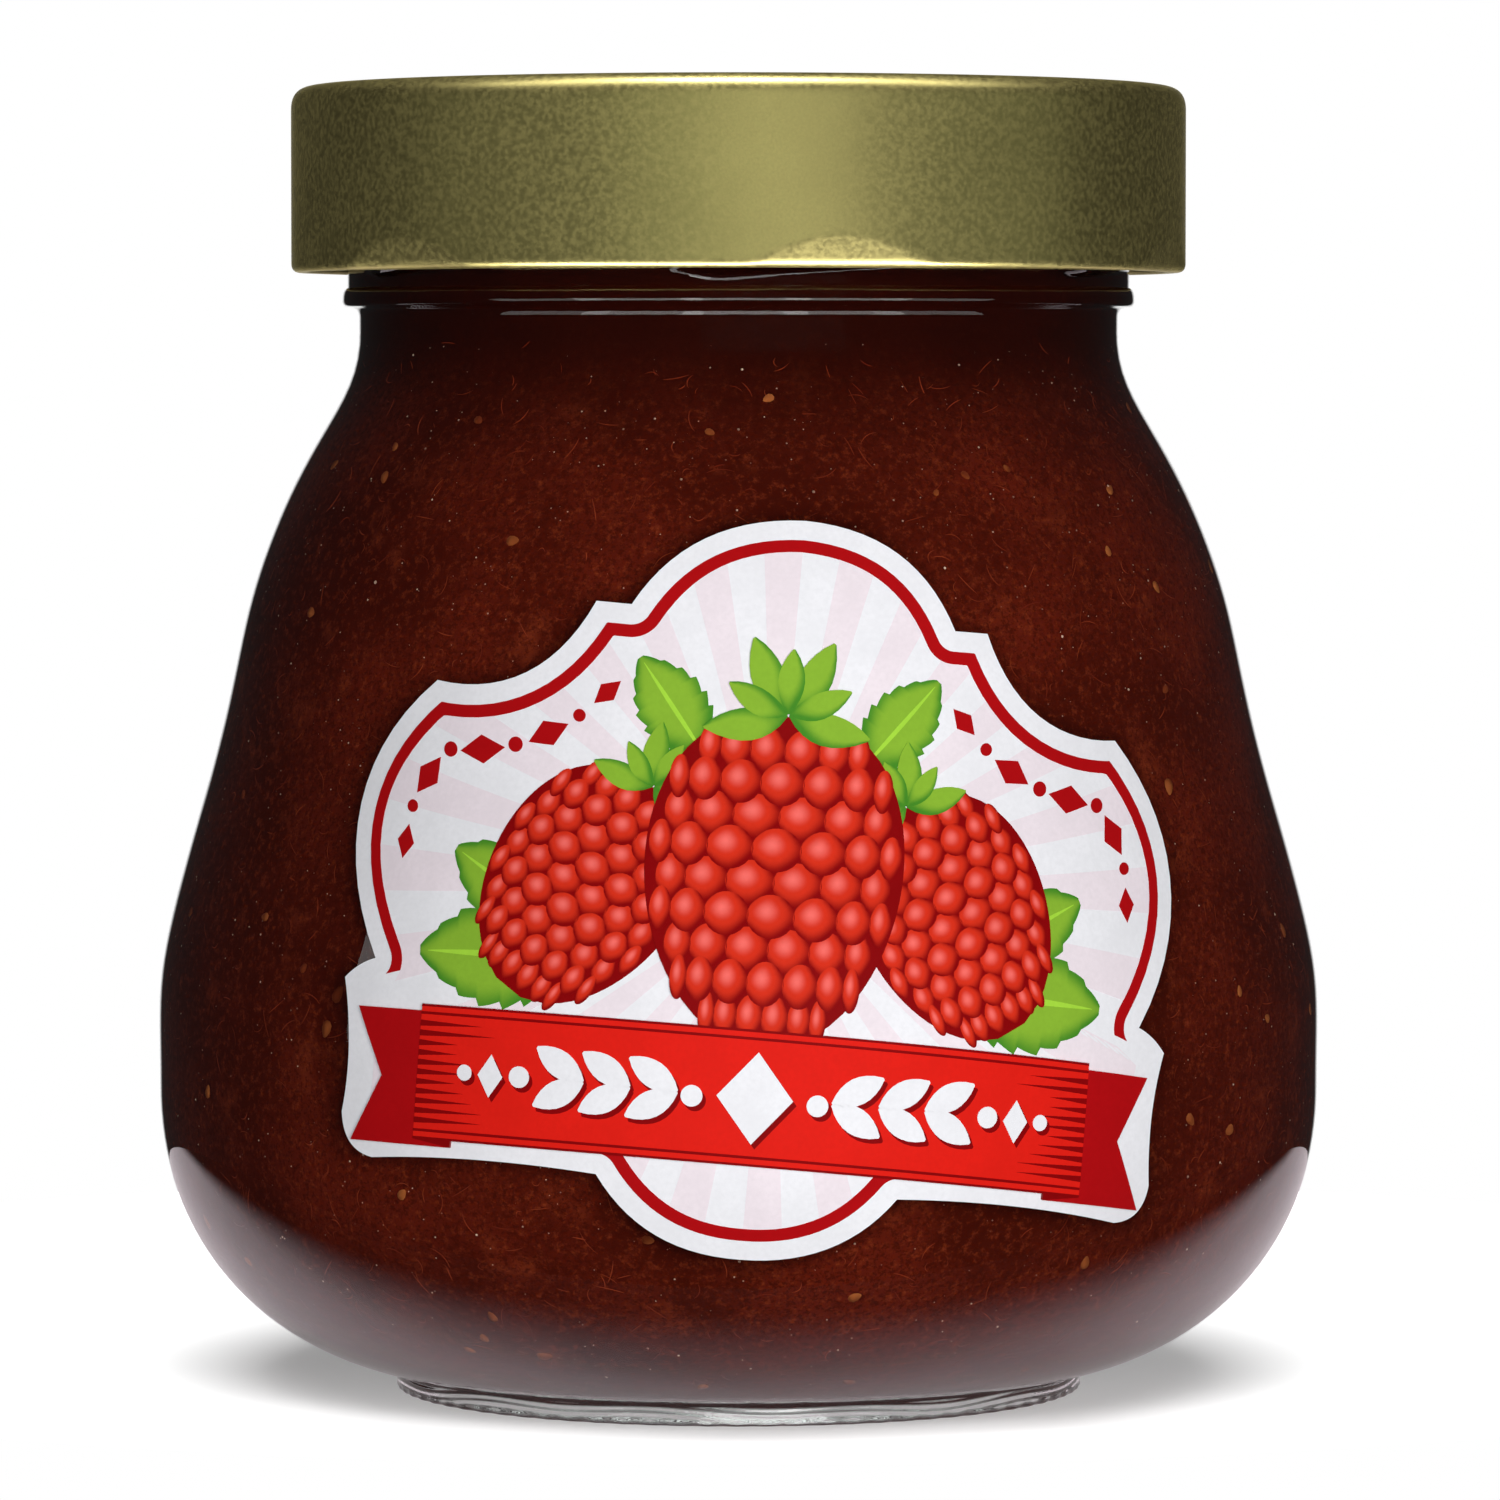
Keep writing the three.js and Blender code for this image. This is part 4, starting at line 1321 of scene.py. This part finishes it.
# A lamp's turn and rise are in degrees, its distance and size in metres, its power in watts.
Lamp = namedtuple("Lamp", "name turn rise distance width depth power colour")
WHITE = (1, 1, 1)
OLIVE = (0.88, 1, 0.85)
KEY_LAMP = Lamp("key", 10, 3, 0.9, 0.7, 0.5, 9.4, WHITE)
FLOOR_LAMP = Lamp("floor", 0, 52, 0.85, 0.5, 0.5, 11, WHITE)
BACK_LAMP = Lamp("back", 188, 12, 0.9, 0.7, 0.5, 5, WHITE)
LID_LAMPS = (
    Lamp("lid_left", -60, 5, 0.9, 0.95, 0.6, 0.12, OLIVE),
    Lamp("lid_broad", 0, 5, 0.9, 0.95, 0.6, 0.7, OLIVE),
    Lamp("lid_right", 60, 5, 0.9, 0.95, 0.6, 0.25, OLIVE),
    Lamp("lid_front", 15, 5, 0.9, 0.6, 0.5, 0.35, WHITE),
    Lamp("lid_low", 4, -46, 0.9, 1.4, 0.3, 1.1, WHITE),
    Lamp("lid_under", 0, -70, 0.9, 1.6, 0.2, 28, WHITE),
    Lamp("lid_top", -2, 74, 0.9, 0.4, 0.3, 6.5, WHITE),
    Lamp("lid_sky", 0, 72, 0.9, 1.9, 0.3, 6.5, WHITE),
)
JAM_PIECES = ("jam_fill", "jam_seeds", "jam_shreds", "jam_specks")
CARDS = ((-52, 0.4), (-26, 0.8), (2, 1), (29, 0.8), (54, 0.4))
CARD = Lamp("neck_card", 0, 0, 0.125, 0.075, 0.045, 0.036, WHITE)
CARD_HEIGHT = 47.5 * MM


def soft_light(lamp, aim_height):
    """A rectangular lamp that faces the jar, at a turn from the front and a rise in degrees."""
    turn = math.radians(lamp.turn)
    rise = math.radians(lamp.rise)
    aim = Vector((0, 0, aim_height))
    way = Vector((math.sin(turn) * math.cos(rise), -math.cos(turn) * math.cos(rise), math.sin(rise)))
    data = bpy.data.lights.new(lamp.name, "AREA")
    data.shape = "RECTANGLE"
    data.size = lamp.width
    data.size_y = lamp.depth
    data.energy = lamp.power
    data.color = lamp.colour
    light = bpy.data.objects.new(lamp.name, data)
    light.location = aim + lamp.distance * way
    light.rotation_mode = "QUATERNION"
    light.rotation_quaternion = (-way).to_track_quat("-Z", "Y")
    light.visible_camera = False
    bpy.context.scene.collection.objects.link(light)
    return light


def shining_on(light, *names):
    """Lets a lamp shine on the named pieces alone."""
    pieces = bpy.data.collections.new(f"{light.name}_pieces")
    for name in names:
        pieces.objects.link(bpy.data.objects[name])
    light.light_linking.receiver_collection = pieces


def build_lamps():
    """A soft key and back lamp that the glass doesn't mirror, and lamps for the stand, lid and bead alone."""
    soft_light(KEY_LAMP, 50 * MM).visible_glossy = False
    back = soft_light(BACK_LAMP, 50 * MM)
    back.visible_glossy = False
    shining_on(back, *JAM_PIECES)
    shining_on(soft_light(FLOOR_LAMP, 0), "stand")
    for lamp in LID_LAMPS:
        shining_on(soft_light(lamp, LID_LOW.z), "lid_cap")
    for turn, share in CARDS:
        card = CARD._replace(turn=turn, power=share * CARD.power)
        shining_on(soft_light(card, CARD_HEIGHT), "jar_glass")


def build_room(settings):
    """The room's light: white straight behind the jar, dim elsewhere, and plain white to the camera."""
    world = bpy.data.worlds.new("room")
    world.use_nodes = True
    tree = world.node_tree
    tree.nodes.clear()
    way = tree.nodes.new("ShaderNodeTexCoord")
    parts = tree.nodes.new("ShaderNodeSeparateXYZ")
    tree.links.new(way.outputs["Generated"], parts.inputs[0])
    backwards = spread(tree, parts.outputs["Y"], 0.965, 0.99, settings.fill_light, settings.back_light)
    path = tree.nodes.new("ShaderNodeLightPath")
    seen = tree.nodes.new("ShaderNodeBackground")
    felt = tree.nodes.new("ShaderNodeBackground")
    tree.links.new(backwards, felt.inputs["Strength"])
    either = tree.nodes.new("ShaderNodeMixShader")
    tree.links.new(path.outputs["Is Camera Ray"], either.inputs[0])
    tree.links.new(felt.outputs[0], either.inputs[1])
    tree.links.new(seen.outputs[0], either.inputs[2])
    for background in (seen, felt):
        background.inputs["Color"].default_value = (1, 1, 1, 1)
    output = tree.nodes.new("ShaderNodeOutputWorld")
    tree.links.new(either.outputs[0], output.inputs["Surface"])
    bpy.context.scene.world = world


class JarOperator:
    """What the operators share."""

    bl_options = {"REGISTER", "UNDO"}


class JAR_OT_glass(JarOperator, bpy.types.Operator):
    """Build the glass jar"""

    bl_idname = "jam_jar.glass"
    bl_label = "Glass"

    def execute(self, context):
        build_glass(context.scene.jam_jar_glass)
        return {"FINISHED"}


class JAR_OT_jam(JarOperator, bpy.types.Operator):
    """Build the jam with the seeds, fibres and specks sunk in it"""

    bl_idname = "jam_jar.jam"
    bl_label = "Jam"

    def execute(self, context):
        for build in (build_jam, build_seeds, build_shreds, build_specks):
            build(context.scene.jam_jar_glass, context.scene.jam_jar_jam)
        return {"FINISHED"}


class JAR_OT_lid(JarOperator, bpy.types.Operator):
    """Build the twist-off lid"""

    bl_idname = "jam_jar.lid"
    bl_label = "Lid"

    def execute(self, context):
        build_lid(context.scene.jam_jar_lid)
        return {"FINISHED"}


class JAR_OT_label(JarOperator, bpy.types.Operator):
    """Build the label's paper and its print"""

    bl_idname = "jam_jar.label"
    bl_label = "Label"

    def execute(self, context):
        fruit = (build_leaves, build_berries)
        for build in (build_paper, build_border, build_side_chains, *fruit, build_ribbon):
            build(context.scene.jam_jar_label)
        return {"FINISHED"}


class JAR_OT_stage(JarOperator, bpy.types.Operator):
    """Build the stand, the camera and the light"""

    bl_idname = "jam_jar.stage"
    bl_label = "Stage"

    def execute(self, context):
        settings = context.scene.jam_jar_stage
        build_stand(settings)
        build_camera(settings)
        build_room(settings)
        build_lamps()
        context.scene.view_settings.view_transform = "Standard"
        return {"FINISHED"}


SETTINGS = {
    "jam_jar_glass": GlassSettings,
    "jam_jar_jam": JamSettings,
    "jam_jar_lid": LidSettings,
    "jam_jar_label": LabelSettings,
    "jam_jar_stage": StageSettings,
}
OPERATORS = (JAR_OT_glass, JAR_OT_jam, JAR_OT_lid, JAR_OT_label, JAR_OT_stage)


class JAR_PT_panel(bpy.types.Panel):
    """Lists the operators and the settings"""

    bl_idname = "JAR_PT_panel"
    bl_label = "Jam jar"
    bl_space_type = "VIEW_3D"
    bl_region_type = "UI"
    bl_category = "Jam jar"

    def draw(self, context):
        for operator in OPERATORS:
            self.layout.operator(operator.bl_idname)
        for name, group in SETTINGS.items():
            box = self.layout.box()
            box.label(text=group.__name__)
            for setting in group.__annotations__:
                box.prop(getattr(context.scene, name), setting)


def register():
    """Registers the settings, the operators and the panel."""
    for name, group in SETTINGS.items():
        bpy.utils.register_class(group)
        setattr(bpy.types.Scene, name, PointerProperty(type=group))
    for operator in (*OPERATORS, JAR_PT_panel):
        bpy.utils.register_class(operator)


def unregister():
    """Takes them away again, last first."""
    for operator in (JAR_PT_panel, *reversed(OPERATORS)):
        bpy.utils.unregister_class(operator)
    for name, group in reversed(SETTINGS.items()):
        delattr(bpy.types.Scene, name)
        bpy.utils.unregister_class(group)


def main():
    """Builds the stage and every piece."""
    register()
    for name in ("glass", "jam", "lid", "label", "stage"):
        getattr(bpy.ops.jam_jar, name)()


if __name__ == "__main__":
    main()
